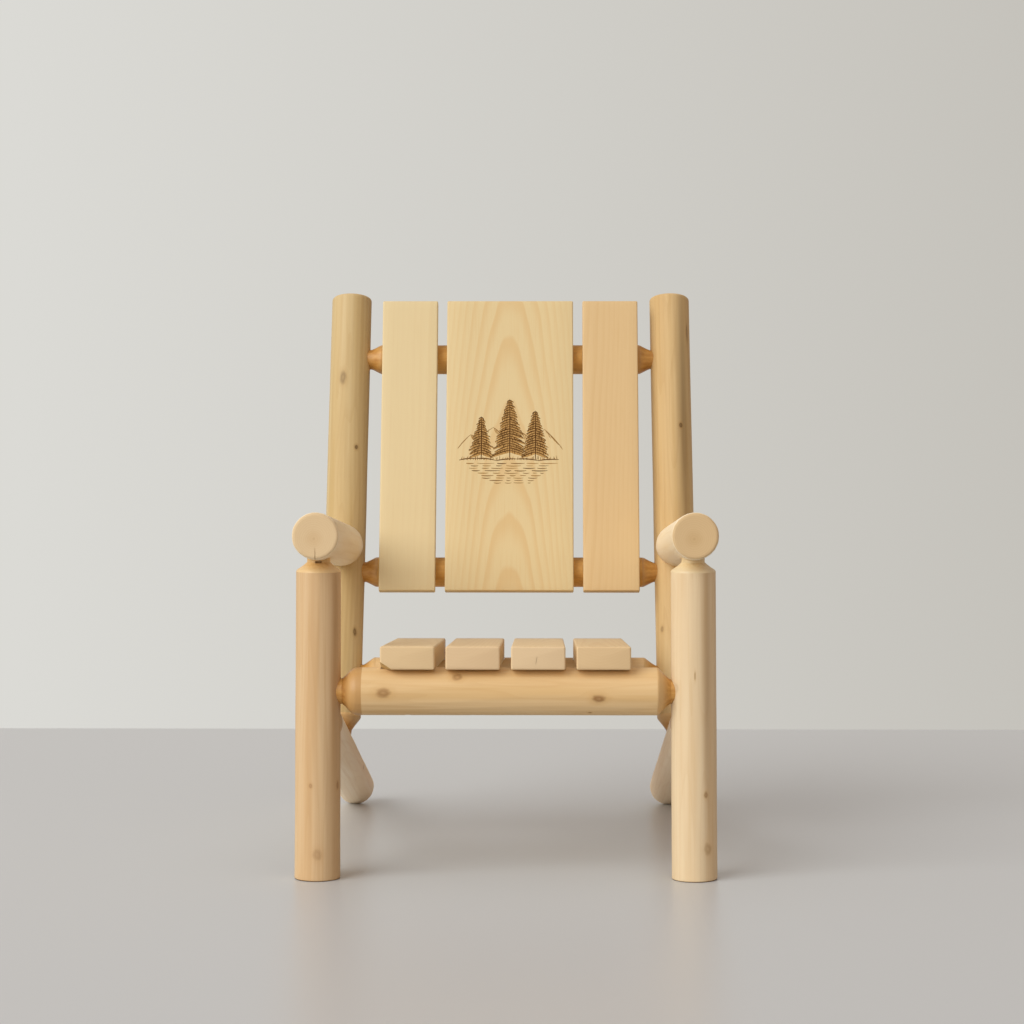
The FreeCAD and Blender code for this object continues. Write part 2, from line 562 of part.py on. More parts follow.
# Side frames: front leg, sloping rear leg, leaning post and arm
for side in SIDES:
    leg = turned(f"front_leg_{side}_log", [
        ("leg_foot_diameter / 2 - foot_easing", "0"),
        ("leg_foot_diameter / 2", "foot_easing", "round", "foot_easing"),
        ("leg_top_diameter / 2", "foot_allowance + leg_shoulder_height"),
        ("leg_tenon_diameter / 2", "foot_allowance + leg_shoulder_height + leg_shoulder_length",
         "hollow", "shoulder_hollow_radius"),
        ("leg_tenon_diameter / 2", "foot_allowance + leg_tenon_end - tenon_easing"),
        ("leg_tenon_diameter / 2 - tenon_easing", "foot_allowance + leg_tenon_end"),
    ])
    place(leg, ("0", "0", "-foot_allowance"), within="Frame_" + side)
    rear_leg_mortise = peg(f"rear_leg_{side}_mortise", "rear_leg_tenon_diameter / 2 + glue_gap",
                           "rear_leg_tenon_length + tenon_end_room + leg_foot_diameter")
    place(rear_leg_mortise, ("0", "0", "rear_leg_start - tenon_end_room"), within="Rear_leg_" + side)
    finished(f"front_leg_{side}", leg,
             (rail_mortises["front_seat_rail"], rear_leg_mortise, lock_holes, floor_plane))

    rear_leg = turned(f"rear_leg_{side}_log", [
        ("rear_leg_tenon_diameter / 2 - tenon_easing", "0"),
        ("rear_leg_tenon_diameter / 2", "tenon_easing"),
        ("rear_leg_tenon_diameter / 2", "rear_leg_tenon_length"),
        ("rear_leg_diameter / 2", "rear_leg_tenon_length + rear_leg_shoulder_length",
         "hollow", "shoulder_hollow_radius"),
        ("rear_leg_diameter / 2", "rear_leg_run - rear_leg_start - rear_leg_end_easing"),
        ("rear_leg_diameter / 2 - rear_leg_end_easing", "rear_leg_run - rear_leg_start",
         "round", "rear_leg_end_easing"),
    ])
    place(rear_leg, ("0", "0", "rear_leg_start"), within="Rear_leg_" + side)
    post_mortise = peg(f"post_{side}_mortise", "post_tenon_diameter / 2 + glue_gap",
                       "post_tenon_length + tenon_end_room + rear_leg_diameter / 2")
    place(post_mortise, ("0", "0", "post_shoulder - post_tenon_length - tenon_end_room"),
          within="Post_" + side)
    finished(f"rear_leg_{side}", rear_leg, (post_mortise, floor_plane))

    post_length = "post_top - post_shoulder + post_tenon_length"
    post = turned(f"back_post_{side}_log", [
        ("post_tenon_diameter / 2 - tenon_easing", "0"),
        ("post_tenon_diameter / 2", "tenon_easing"),
        ("post_tenon_diameter / 2", "post_tenon_length"),
        ("post_diameter / 2", "post_tenon_length + post_shoulder_length",
         "hollow", "shoulder_hollow_radius"),
        ("post_diameter / 2", f"{post_length} - post_top_easing"),
        ("post_diameter / 2 - post_top_easing", post_length, "round", "post_top_easing"),
    ])
    place(post, ("0", "0", "post_shoulder - post_tenon_length"), within="Post_" + side)
    finished(f"back_post_{side}", post,
             (rail_mortises["rear_seat_rail"], rail_mortises["lower_back_rail"],
              rail_mortises["upper_back_rail"], lag_sets["arm_lag_holes"], lock_holes))

    arm = turned(f"arm_{side}_log", [
        ("arm_diameter / 2 - arm_end_easing", "0"),
        ("arm_diameter / 2", "arm_end_easing", "round", "arm_end_easing"),
        ("arm_diameter / 2", "arm_length"),
    ])
    place(arm, ("0", "0", "-arm_overhang"), within="Arm_" + side)
    leg_mortise = peg(f"leg_{side}_mortise", "leg_tenon_diameter / 2 + glue_gap",
                      "leg_shoulder_length + leg_tenon_length + tenon_end_room")
    place(leg_mortise, ("0", "0", "leg_shoulder_height"), within="Frame_" + side)
    cope = peg(f"arm_{side}_cope", "post_diameter / 2 + glue_gap", "2 * arm_diameter")
    place(cope, ("0", "0", "arm_on_post - arm_diameter"), within="Post_" + side)
    finished(f"arm_{side}", arm, (leg_mortise, cope, lag_sets["arm_lag_holes"]))

# Seat slats and back boards
for number, across in enumerate(slat_places, start=1):
    slat = plank(f"seat_slat_{number}_plank", "slat_width", "slat_length", "slat_thickness",
                 "slat_edge_radius")
    place(slat, (f"{across} - slat_width / 2", "-slat_front_overhang", "slat_underside"),
          within="Seat")
    finished(f"seat_slat_{number}", slat, (slat_holes,))

for name, width, across in BOARDS:
    board = plank(f"back_board_{name}_plank", width, "board_length", "board_thickness",
                  "board_edge_radius")
    place(board, (f"{across} - {width} / 2", "-board_underside", "-board_below_rail"),
          ACROSS, "90", within="Back")
    finished(f"back_board_{name}", board, (board_holes,))

for fasteners in (slat_screws, board_screws, lock_screws,
                  lag_sets["arm_lag_screws"], lag_sets["arm_lag_washers"]):
    finished(fasteners.Label, fasteners)

doc.recompute()

# Every object and every piece is checked before any file is written
for thing in doc.Objects:
    if "Invalid" in thing.State or "Error" in thing.State:
        raise RuntimeError(f"{thing.Label} failed: {thing.State}")
for piece in pieces:
    shape = piece.Shape
    if shape.isNull() or not shape.isValid() or not shape.Solids:
        raise RuntimeError(f"{piece.Label} has no valid solid")

os.makedirs("parts", exist_ok=True)
for piece in pieces:
    piece.Shape.exportStep(f"parts/{piece.Label}.step")
    box = piece.Shape.BoundBox
    print(f"{piece.Label}: {len(piece.Shape.Solids)} solids, {piece.Shape.Volume:.0f} mm3,",
          f"x {box.XMin:.1f} to {box.XMax:.1f}, y {box.YMin:.1f} to {box.YMax:.1f},",
          f"z {box.ZMin:.1f} to {box.ZMax:.1f}")
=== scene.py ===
# %% [markdown]
# # A log chair in peeled cedar and sawn pine
# The chair is a kit of round logs with tapered tenons, four sawn seat slats and three back boards.
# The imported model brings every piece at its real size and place, in metres, +Z up, facing -Y.
# Here each piece gets the surface that a hand tool or a saw leaves, on a mesh of its own.

# %% The frame
import random
from math import atan2, cos, dist, exp, hypot, pi, radians, sin, sqrt, tan, tau

import bpy
from mathutils import Matrix, Vector, noise


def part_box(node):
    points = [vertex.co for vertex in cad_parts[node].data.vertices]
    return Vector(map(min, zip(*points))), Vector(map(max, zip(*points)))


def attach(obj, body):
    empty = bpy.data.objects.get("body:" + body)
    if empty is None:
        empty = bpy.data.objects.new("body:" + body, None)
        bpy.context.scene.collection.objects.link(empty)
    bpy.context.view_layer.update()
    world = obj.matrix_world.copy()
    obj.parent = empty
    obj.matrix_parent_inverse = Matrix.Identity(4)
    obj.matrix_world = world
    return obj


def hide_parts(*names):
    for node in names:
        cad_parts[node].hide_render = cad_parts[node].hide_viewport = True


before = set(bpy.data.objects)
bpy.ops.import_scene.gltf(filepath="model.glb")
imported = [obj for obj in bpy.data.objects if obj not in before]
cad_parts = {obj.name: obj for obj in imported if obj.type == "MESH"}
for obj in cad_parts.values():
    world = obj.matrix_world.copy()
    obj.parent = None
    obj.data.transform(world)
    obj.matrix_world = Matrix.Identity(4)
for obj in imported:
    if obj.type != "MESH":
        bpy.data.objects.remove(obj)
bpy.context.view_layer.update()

# %% [markdown]
# ## Sizes
# A log chair is laid out by its two side frames: a front leg, a sloping rear leg, a leaning back
# post and an arm in one plane. The frames lean and toe in by a fraction of a degree, as they do on
# the real chair. The sizes below are the driving ones, and every place is worked out from them,
# so that a log's own Z axis runs along its grain and its texture can follow it.

# %% Driving sizes
MM = 0.001
LEG_SPREAD = 623 * MM
TOE_IN = radians(0.32)
FRAME_LEAN = radians(0.42)
LEG_FOOT_RADIUS = 38.25 * MM
LEG_TOP_RADIUS = 37.5 * MM
LEG_SHOULDER = 509 * MM
LEG_SHOULDER_LENGTH = 14 * MM
LEG_TENON_RADIUS = 19 * MM
ARM_RADIUS = 39 * MM
ARM_SLOPE = radians(4.7)
ARM_OVERHANG = 65 * MM
ARM_COPE_DEPTH = 12 * MM
FRONT_RAIL_RADIUS = 40 * MM
FRONT_RAIL_HEIGHT = 310 * MM
REAR_RAIL_RADIUS = 35 * MM
SEAT_RAIL_SHOULDER_LENGTH = 21 * MM
SEAT_RAIL_TENON_RADIUS = 20 * MM
REAR_LEG_RADIUS = 36 * MM
BACK_SLOPE = radians(16.2)
REAR_LEG_SHOULDER_LENGTH = 22 * MM
REAR_LEG_TENON_RADIUS = 18 * MM
FLOOR_FLAT_DEPTH = 2.5 * MM
TENON_WEB = 3 * MM
POST_RADIUS = 37.5 * MM
POST_STATION = 393 * MM
POST_INSET = 4 * MM
POST_SHOULDER_LENGTH = 26 * MM
POST_TENON_RADIUS = 19 * MM
POST_ABOVE_RAIL = 119.5 * MM
BACK_RAIL_RADIUS = 27.5 * MM
BACK_RAIL_SHOULDER_LENGTH = 20 * MM
BACK_RAIL_TENON_RADIUS = 17.5 * MM
LOWER_RAIL_BELOW_ARM = 50 * MM
BACK_RAIL_SPACING = 405.5 * MM
SEAT_SLOPE = radians(3.55)
GLUE_GAP = 0.15 * MM
BOARD_THICKNESS = 19 * MM
CENTRE_BOARD_WIDTH = 233 * MM
SIDE_BOARD_WIDTH = 102 * MM
BOARD_GAP = 17.5 * MM
BOARD_BELOW_RAIL = 44 * MM
BOARD_ABOVE_RAIL = 100.5 * MM
BOARD_SEAT_DEPTH = 2 * MM
SLAT_WIDTH = 89 * MM
SLAT_THICKNESS = 38 * MM
SLAT_GAP = 18 * MM
SLAT_FRONT_OVERHANG = 42 * MM
SLAT_REAR_OVERHANG = 26 * MM
SLAT_SEAT_DEPTH = 3.2 * MM
REAR_SLAT_SEAT_DEPTH = 4.5 * MM
SEAT_CLEARANCE = 0.5 * MM

# %% Places worked out from them
leg_low, leg_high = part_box("front_leg_left")
LEG_Y = (leg_low.y + leg_high.y) / 2
leg_taper = (LEG_FOOT_RADIUS - LEG_TOP_RADIUS) / LEG_SHOULDER
leg_radius_at_rail = LEG_FOOT_RADIUS - leg_taper * FRONT_RAIL_HEIGHT
rear_leg_up = (FRONT_RAIL_HEIGHT - SEAT_RAIL_TENON_RADIUS - TENON_WEB
               - REAR_LEG_TENON_RADIUS / cos(BACK_SLOPE))
leg_radius_at_rear_leg = LEG_FOOT_RADIUS - leg_taper * (rear_leg_up - REAR_LEG_RADIUS)
rear_leg_shoulder = (leg_radius_at_rear_leg + GLUE_GAP
                     + REAR_LEG_TENON_RADIUS * sin(BACK_SLOPE)) / cos(BACK_SLOPE)
rear_leg_run = ((rear_leg_up - REAR_LEG_RADIUS * cos(BACK_SLOPE) + FLOOR_FLAT_DEPTH)
                / sin(BACK_SLOPE))
post_back = POST_STATION * cos(BACK_SLOPE)
post_up = rear_leg_up - POST_STATION * sin(BACK_SLOPE)
post_shoulder = REAR_LEG_RADIUS + GLUE_GAP
arm_up = (LEG_SHOULDER + LEG_SHOULDER_LENGTH + GLUE_GAP
          + LEG_TENON_RADIUS * tan(ARM_SLOPE) + ARM_RADIUS / cos(ARM_SLOPE))
arm_on_post = (((arm_up - post_up) * cos(ARM_SLOPE) - post_back * sin(ARM_SLOPE))
               / cos(BACK_SLOPE - ARM_SLOPE))
arm_run = (post_back + arm_on_post * sin(BACK_SLOPE)) / cos(ARM_SLOPE)
post_half_along_arm = POST_RADIUS / cos(BACK_SLOPE - ARM_SLOPE)
lower_rail_on_post = arm_on_post - LOWER_RAIL_BELOW_ARM
upper_rail_on_post = lower_rail_on_post + BACK_RAIL_SPACING
post_top = upper_rail_on_post + POST_ABOVE_RAIL
slat_underside = FRONT_RAIL_RADIUS - SLAT_SEAT_DEPTH
rear_rail_rise = slat_underside - REAR_RAIL_RADIUS + REAR_SLAT_SEAT_DEPTH
rear_rail_on_post = ((rear_rail_rise + (FRONT_RAIL_HEIGHT - post_up) * cos(SEAT_SLOPE)
                      - post_back * sin(SEAT_SLOPE)) / cos(BACK_SLOPE - SEAT_SLOPE))


def on_post(along):
    """Distance behind the front leg and height of a place on a post's axis."""
    return post_back + along * sin(BACK_SLOPE), post_up + along * cos(BACK_SLOPE)


rear_rail_back, rear_rail_up = on_post(rear_rail_on_post)
lower_rail_back, lower_rail_up = on_post(lower_rail_on_post)
seat_run = (rear_rail_back * cos(TOE_IN) * cos(SEAT_SLOPE)
            + (FRONT_RAIL_HEIGHT - rear_rail_up) * sin(SEAT_SLOPE))
slat_length = SLAT_FRONT_OVERHANG + seat_run + SLAT_REAR_OVERHANG
slat_pitch = SLAT_WIDTH + SLAT_GAP
board_underside = BACK_RAIL_RADIUS - BOARD_SEAT_DEPTH
board_length = BOARD_BELOW_RAIL + BACK_RAIL_SPACING + BOARD_ABOVE_RAIL
side_board_place = CENTRE_BOARD_WIDTH / 2 + BOARD_GAP + SIDE_BOARD_WIDTH / 2


def post_reach(along, tenon_radius):
    """From the chair's middle to a rail's shoulder at a post."""
    back, up = on_post(along)
    return (LEG_SPREAD / 2 - up * sin(FRAME_LEAN) - back * sin(TOE_IN) - POST_INSET
            - POST_RADIUS - GLUE_GAP - tenon_radius * tan(FRAME_LEAN))


front_rail_reach = (LEG_SPREAD / 2 - FRONT_RAIL_HEIGHT * sin(FRAME_LEAN) - leg_radius_at_rail
                    - GLUE_GAP - SEAT_RAIL_TENON_RADIUS * tan(FRAME_LEAN))
rear_rail_reach = post_reach(rear_rail_on_post, SEAT_RAIL_TENON_RADIUS)
lower_rail_reach = post_reach(lower_rail_on_post, BACK_RAIL_TENON_RADIUS)
upper_rail_reach = post_reach(upper_rail_on_post, BACK_RAIL_TENON_RADIUS)

# %% Frames of the logs, the seat and the back
SIDES = {"left": -1, "right": 1}


def move(x, y, z):
    return Matrix.Translation((x, y, z))


def turn(angle, axis):
    return Matrix.Rotation(angle, 4, axis)


QUARTER = radians(90)
leg_frame = {}
rear_leg_frame = {}
post_frame = {}
arm_frame = {}
for side, sign in SIDES.items():
    plane = (move(sign * LEG_SPREAD / 2, LEG_Y, 0) @ turn(sign * TOE_IN, "Z")
             @ turn(-sign * FRAME_LEAN, "Y"))
    leg_frame[side] = plane
    rear_leg_frame[side] = plane @ move(0, 0, rear_leg_up) @ turn(-QUARTER - BACK_SLOPE, "X")
    post_frame[side] = plane @ move(-sign * POST_INSET, post_back, post_up) @ turn(-BACK_SLOPE, "X")
    arm_frame[side] = plane @ move(0, 0, arm_up) @ turn(-QUARTER - ARM_SLOPE, "X")
seat_frame = move(0, LEG_Y, FRONT_RAIL_HEIGHT) @ turn(-SEAT_SLOPE, "X")
back_frame = (move(0, LEG_Y + lower_rail_back * cos(TOE_IN), lower_rail_up)
              @ turn(-BACK_SLOPE, "X"))
along_x = turn(QUARTER, "Y")
rail_frame = {
    "front_seat_rail": seat_frame @ along_x,
    "rear_seat_rail": seat_frame @ move(0, seat_run, rear_rail_rise) @ along_x,
    "lower_back_rail": back_frame @ along_x,
    "upper_back_rail": back_frame @ move(0, 0, BACK_RAIL_SPACING) @ along_x,
}
print("leg y", round(LEG_Y, 5), "arm up", round(arm_up, 5), "post top", round(post_top, 5))

# %% [markdown]
# ## Camera, floor and light
# The photograph was taken from straight ahead at chest height with a longish lens. Vanishing points
# and the seat's lumber size gave the distance, height and two small turns of the camera.
# The floor is a plain pale slab whose far edge stands for the line where a floor meets a wall.
# A broad soft lamp from the front left and a sky that is brighter above are enough: round logs then
# shade from a bright left side to a warm, darker right side.

# %% Camera
IMAGE_SIZE = 1024
FOCAL_PIXELS = 2576.8
SENSOR_WIDTH = 36
CAMERA_DISTANCE = 4226.6 * MM
CAMERA_HEIGHT = 778.5 * MM
CAMERA_ACROSS = 61.8 * MM
CAMERA_PITCH = radians(2.3457)
CAMERA_YAW = radians(0.6985)


def stand(name, data):
    """An object of the scene that shows some data."""
    made = bpy.data.objects.new(name, data)
    bpy.context.scene.collection.objects.link(made)
    return made


camera = bpy.data.cameras.new("camera")
camera.sensor_width = SENSOR_WIDTH
camera.lens = FOCAL_PIXELS / IMAGE_SIZE * SENSOR_WIDTH
viewer = stand("camera", camera)
viewer.location = (CAMERA_ACROSS, LEG_Y - CAMERA_DISTANCE, CAMERA_HEIGHT)
viewer.rotation_euler = (QUARTER - CAMERA_PITCH, 0, CAMERA_YAW)
bpy.context.scene.camera = viewer
bpy.context.scene.view_settings.view_transform = "Standard"
bpy.context.view_layer.update()
print("lens", round(camera.lens, 2))


# %% Colours and nodes
def paint(code):
    """The linear colour of an sRGB hex value."""
    linear = []
    for start in (1, 3, 5):
        level = int(code[start:start + 2], 16) / 255
        linear.append(level / 12.92 if level <= 0.04045 else ((level + 0.055) / 1.055) ** 2.4)
    return (*linear, 1.0)


def connect(tree, node, inputs):
    """Gives a node's inputs values, hex colours, sockets, or nodes whose first enabled output is linked."""
    for name, given in inputs.items():
        if isinstance(given, str):
            given = paint(given)
        if isinstance(given, bpy.types.Node):
            given = next(output for output in given.outputs if output.enabled)
        if isinstance(given, bpy.types.NodeSocket):
            tree.links.new(given, node.inputs[name])
        else:
            node.inputs[name].default_value = given


def add(tree, kind, inputs=None, **settings):
    """Adds a node with its settings and links."""
    node = tree.nodes.new("ShaderNode" + kind)
    for name, setting in settings.items():
        setattr(node, name, setting)
    connect(tree, node, inputs or {})
    return node


def new_material(name):
    """A material with its node tree and its shader."""
    material = bpy.data.materials.new(name)
    material.use_nodes = True
    return material, material.node_tree, material.node_tree.nodes["Principled BSDF"]


def new_mesh(name, points, faces, *materials):
    """A mesh with its materials."""
    mesh = bpy.data.meshes.new(name)
    mesh.from_pydata(points, [], faces)
    for material in materials:
        mesh.materials.append(material)
    return mesh


# A Mix node for colours has these settings and sockets. Inputs 0 to 4 of a MapRange node are its value,
# the range that it comes from and the range that it goes to, each 0 to 1 if nothing else is said.
COLOURS = {"data_type": "RGBA"}
FACTOR, FIRST, SECOND = 0, 6, 7
SOFT = {"interpolation_type": "SMOOTHSTEP"}

# %% Floor, sky and lamp
FLOOR_HALF_WIDTH = 9.0
FLOOR_FRONT = -9.0
WALL_BEHIND_LEGS = 1.97
WALL_LINE = LEG_Y + WALL_BEHIND_LEGS
FLOOR_COLOUR = "#C3C6C7"
FLOOR_ROUGHNESS = 0.35
# The wall is painted lighter on the left and darker on the right: painted falloff of the light from the left
WALL_LEFT = "#DBDAD5"
WALL_RIGHT = "#C4C1BA"
WALL_HALF_VIEW = 0.2            # sideways share of a sight line over which the wall's colour changes
SKY_COLOUR = "#F3F5F7"
SHADE_COLOUR = "#FFB468"        # what pale wood and a warm room throw back into the shade
SKY_LOW = 0.15
SKY_HIGH = 0.82
SKY_WAY = (-0.25, -0.25, 0.93)
SHADE_END = -0.4
KEY_SPREAD = radians(48)
KEY_STRENGTH = 2.26
KEY_WAY = Vector((0.644, 0.579, -0.5))
KEY_COLOUR = "#F9F8F6"

# Painted screed, smooth enough that feet show a soft reflection
floor_paint, tree, shader = new_material("pale_matt_floor")
connect(tree, shader, {"Base Color": FLOOR_COLOUR, "Roughness": FLOOR_ROUGHNESS})
corners = [(-FLOOR_HALF_WIDTH, FLOOR_FRONT, 0), (FLOOR_HALF_WIDTH, FLOOR_FRONT, 0),
           (FLOOR_HALF_WIDTH, WALL_LINE, 0), (-FLOOR_HALF_WIDTH, WALL_LINE, 0)]
floor = stand("floor", new_mesh("floor", corners, [(0, 1, 2, 3)], floor_paint))

world = bpy.data.worlds.new("soft_studio")
bpy.context.scene.world = world
world.use_nodes = True
tree = world.node_tree
tree.nodes.clear()
rays = add(tree, "LightPath").outputs
sight = add(tree, "TexCoord").outputs["Generated"]
towards = add(tree, "VectorMath", {0: sight, 1: SKY_WAY}, operation="DOT_PRODUCT")
lit = add(tree, "MapRange", {0: towards, 1: SHADE_END})
glow = add(tree, "MapRange", {0: lit, 3: SKY_LOW, 4: SKY_HIGH})
tint = add(tree, "Mix", {FACTOR: lit, FIRST: SHADE_COLOUR, SECOND: SKY_COLOUR}, **COLOURS)
sky = add(tree, "Background", {"Color": tint, "Strength": glow})
# Painted falloff of light on the wall, from lighter on the left to darker on the right
sideways = add(tree, "SeparateXYZ", {0: sight}).outputs["X"]
falling = add(tree, "MapRange", {0: sideways, 1: -WALL_HALF_VIEW, 2: WALL_HALF_VIEW})
wall_painted_falloff = add(tree, "Mix", {FACTOR: falling, FIRST: WALL_LEFT, SECOND: WALL_RIGHT}, **COLOURS)
wall = add(tree, "Background", {"Color": wall_painted_falloff})
mirrored = add(tree, "Math", {0: rays["Is Glossy Ray"], 1: rays["Is Transmission Ray"]}, operation="MAXIMUM")
shown = add(tree, "Math", {0: rays["Is Camera Ray"], 1: mirrored}, operation="MAXIMUM")
seen = add(tree, "MixShader", {0: shown, 1: sky, 2: wall})
add(tree, "OutputWorld", {"Surface": seen})

key_lamp = bpy.data.lights.new("window_light", "SUN")
key_lamp.angle = KEY_SPREAD
key_lamp.energy = KEY_STRENGTH
key_lamp.color = paint(KEY_COLOUR)[:3]
stand("window_light", key_lamp).rotation_euler = KEY_WAY.to_track_quat("-Z", "Y").to_euler()
print("floor, sky and lamp made")

# %% [markdown]
# ## Peeled cedar
# White cedar logs are stripped of their bark with a drawknife. What shows is the outermost growth
# ring: long pale fibres, faint flame-like lines where the blade cut into the ring below, and knots
# where branches were cut flush. A solid texture could carve rings out of the whole log, but then
# every log would look turned. Instead noise stretched along the log's own Z draws the fibres. A
# vector stored on each vertex, the offset to the nearest knot, draws the knots where they are, and
# a second value darkens the wood along a few long marks: partly brown stains, partly painted shade
# on the shaded right side of three logs. One dark mark drawn as a knot is painted shade as well.

# %% Peeled cedar, drawknifed and lightly sanded
FIBRE_WIDTH = 6 * MM            # real fibres are finer, drawn as coarse as they need to show
FIBRE_LENGTH = 260 * MM
FLAME_WIDTH = 34 * MM
FLAME_LENGTH = 420 * MM
FLAME_BANDS = 7.0
TONE_WIDTH = 24 * MM
TONE_LENGTH = 520 * MM
RIPPLE_WIDTH = 6.4 * MM
RIPPLE_LENGTH = 12.8 * MM
RIPPLE_SHARE = 0.9
RANDOM_SPREAD = 50.0
WOOD_IOR = 1.5


def streaks(tree, place, width, length, detail, shift=None, roughness=0.5):
    """A noise whose grains are that wide, and that long along Z, with another pattern for each shift."""
    scale = (1 / width, 1 / width, 1 / length)
    stretched = add(tree, "VectorMath", {0: place, 1: scale}, operation="MULTIPLY")
    inputs = {"Vector": stretched, "Scale": 1.0, "Detail": detail, "Roughness": roughness}
    if shift is None:
        return add(tree, "TexNoise", inputs)
    return add(tree, "TexNoise", {**inputs, "W": shift}, noise_dimensions="4D")


def peeled_cedar(name, pale, deep, streak, knot):
    """Matt pale wood with long soft streaks: it gives the eye a silky, slightly uneven cylinder."""
    material, tree, shader = new_material(name)
    place = add(tree, "TexCoord").outputs["Object"]
    chance = add(tree, "ObjectInfo").outputs["Random"]
    shift = add(tree, "Math", {0: chance, 1: RANDOM_SPREAD}, operation="MULTIPLY")
    fibre = streaks(tree, place, FIBRE_WIDTH, FIBRE_LENGTH, 4.0, shift, 0.6)
    flame = streaks(tree, place, FLAME_WIDTH, FLAME_LENGTH, 1.0, shift)
    tone = streaks(tree, place, TONE_WIDTH, TONE_LENGTH, 2.0, shift)
    ripple = streaks(tree, place, RIPPLE_WIDTH, RIPPLE_LENGTH, 2.0, shift)
    deeper = add(tree, "MapRange", {0: tone, 1: 0.35, 2: 0.7})
    bands = add(tree, "Math", {0: flame, 1: FLAME_BANDS}, operation="MULTIPLY")
    band = add(tree, "Math", {0: bands}, operation="FRACT")
    line = add(tree, "MapRange", {0: band, 1: 0.6, 2: 0.98, 4: 0.12}, **SOFT)
    grain = add(tree, "MapRange", {0: fibre, 1: 0.45, 2: 0.8, 4: 0.36}, **SOFT)
    # Stains: partly brown stains in the wood, partly painted shade on the right, shaded side of a few logs
    stain = add(tree, "Attribute", attribute_name="stain").outputs["Fac"]

    # Round a knot, distances are in knot sizes, and its darkness comes as the third part of its offset
    stored = add(tree, "Attribute", attribute_name="knot").outputs["Vector"]
    offset = add(tree, "SeparateXYZ", {0: stored}).outputs
    flat = add(tree, "CombineXYZ", {"X": offset["X"], "Y": offset["Y"]})
    away = add(tree, "VectorMath", {0: flat}, operation="LENGTH")
    uneven = add(tree, "Math", {0: ripple, 1: RIPPLE_SHARE, 2: away}, operation="MULTIPLY_ADD")
    halo = add(tree, "MapRange", {0: uneven, 1: 3.2, 2: 1.2, 4: 0.45}, **SOFT)
    core = add(tree, "MapRange", {0: uneven, 1: 1.95, 2: 0.95, 4: 0.85}, **SOFT)
    heart = add(tree, "MapRange", {0: uneven, 1: 0.45, 2: 1.1, 3: 0.5})
    mark = add(tree, "Math", {0: core, 1: heart}, operation="MULTIPLY")
    around = add(tree, "Math", {0: halo, 1: offset["Z"]}, operation="MULTIPLY")
    inside = add(tree, "Math", {0: mark, 1: offset["Z"]}, operation="MULTIPLY")

    colour = pale
    for factor, over in ((deeper, deep), (line, streak), (grain, streak), (stain, knot), (around, streak),
                         (inside, knot)):
        colour = add(tree, "Mix", {FACTOR: factor, FIRST: colour, SECOND: over}, **COLOURS)
    gloss = add(tree, "MapRange", {0: fibre, 3: 0.5, 4: 0.68})
    relief = add(tree, "Bump", {"Height": fibre, "Strength": 0.35, "Distance": 0.4 * MM})
    connect(tree, shader, {"Base Color": colour, "Roughness": gloss, "IOR": WOOD_IOR,
                           "Specular IOR Level": 0.35, "Normal": relief})
    return material


# Pale wood, deeper wood, streaks and knots
CEDARS = {
    "cream": ("#F5E7CB", "#EEDBB6", "#DCC190", "#966C38"),
    "white": ("#E4CFAA", "#DBC096", "#CDA974", "#8E6636"),
    "tan": ("#D9BC92", "#CDA878", "#BA8C54", "#84582A"),
    "golden": ("#E6C898", "#DAB67E", "#C89C60", "#845828"),
    "brown": ("#D1BA8A", "#C2A56E", "#AC844A", "#4E3416"),
    "honey": ("#D8BB88", "#C7A56C", "#AC8044", "#4E3416"),
    "amber": ("#DBAC60", "#CB984C", "#B5803C", "#6E4A20"),
    # Rosy is painted lighter than the wood: painted light on the rear legs, which lie in the seat's shade
    "rosy": ("#FFEED2", "#F6DEBA", "#DEBC92", "#8A6540"),
}
cedar = {kind: peeled_cedar(f"peeled_{kind}_cedar", *colours) for kind, colours in CEDARS.items()}
print("peeled cedar", len(cedar))

# %% [markdown]
# ## Turned shoulders and sawn ends
# A tenon cutter works like a big pencil sharpener: it shaves the end of a log to a cone and a round
# tenon. The cut goes through the pale sapwood into the warmer heartwood, so each shoulder is
# orange-brown, with fine rings from the cutter. The saw leaves end grain: growth rings round a pith
# that is never quite in the middle. Both patterns are measured from the log's own axis.

# %% Turned cedar heartwood
CUTTER_RING = 2.2 * MM
WAVE_RADIANS = 20               # a Wave texture of scale 1 goes through so many in a unit of length
HEART_RADIUS = 22 * MM
SAPWOOD_RADIUS = 35 * MM
GROOVE_SHARE = 0.15
ACROSS_GRAIN = (1.0, 1.0, 0.0)


def turned_heartwood(name, light, dark, groove, sapwood):
    """Cut across the grain, so it drinks finish: deeper and warmer towards the heart of the log."""
    material, tree, shader = new_material(name)
    place = add(tree, "TexCoord").outputs["Object"]
    scale = tau / CUTTER_RING / WAVE_RADIANS
    rings = add(tree, "TexWave", {"Vector": place, "Scale": scale, "Distortion": 1.5, "Detail": 2.0},
                bands_direction="Z").outputs["Fac"]
    fibre = streaks(tree, place, FIBRE_WIDTH, FIBRE_LENGTH / 4, 4.0)
    darkened = add(tree, "MapRange", {0: fibre, 1: 0.3, 2: 0.7})
    across = add(tree, "VectorMath", {0: place, 1: ACROSS_GRAIN}, operation="MULTIPLY")
    reach = add(tree, "VectorMath", {0: across}, operation="LENGTH")
    outer = add(tree, "MapRange", {0: reach, 1: HEART_RADIUS, 2: SAPWOOD_RADIUS}, **SOFT)
    grooved = add(tree, "Math", {0: rings, 1: GROOVE_SHARE}, operation="MULTIPLY")
    colour = light
    for factor, over in ((darkened, dark), (outer, sapwood), (grooved, groove)):
        colour = add(tree, "Mix", {FACTOR: factor, FIRST: colour, SECOND: over}, **COLOURS)
    relief = add(tree, "Bump", {"Height": rings, "Strength": 0.3, "Distance": 0.2 * MM})
    connect(tree, shader, {"Base Color": colour, "Roughness": 0.45, "IOR": WOOD_IOR, "Normal": relief})
    return material


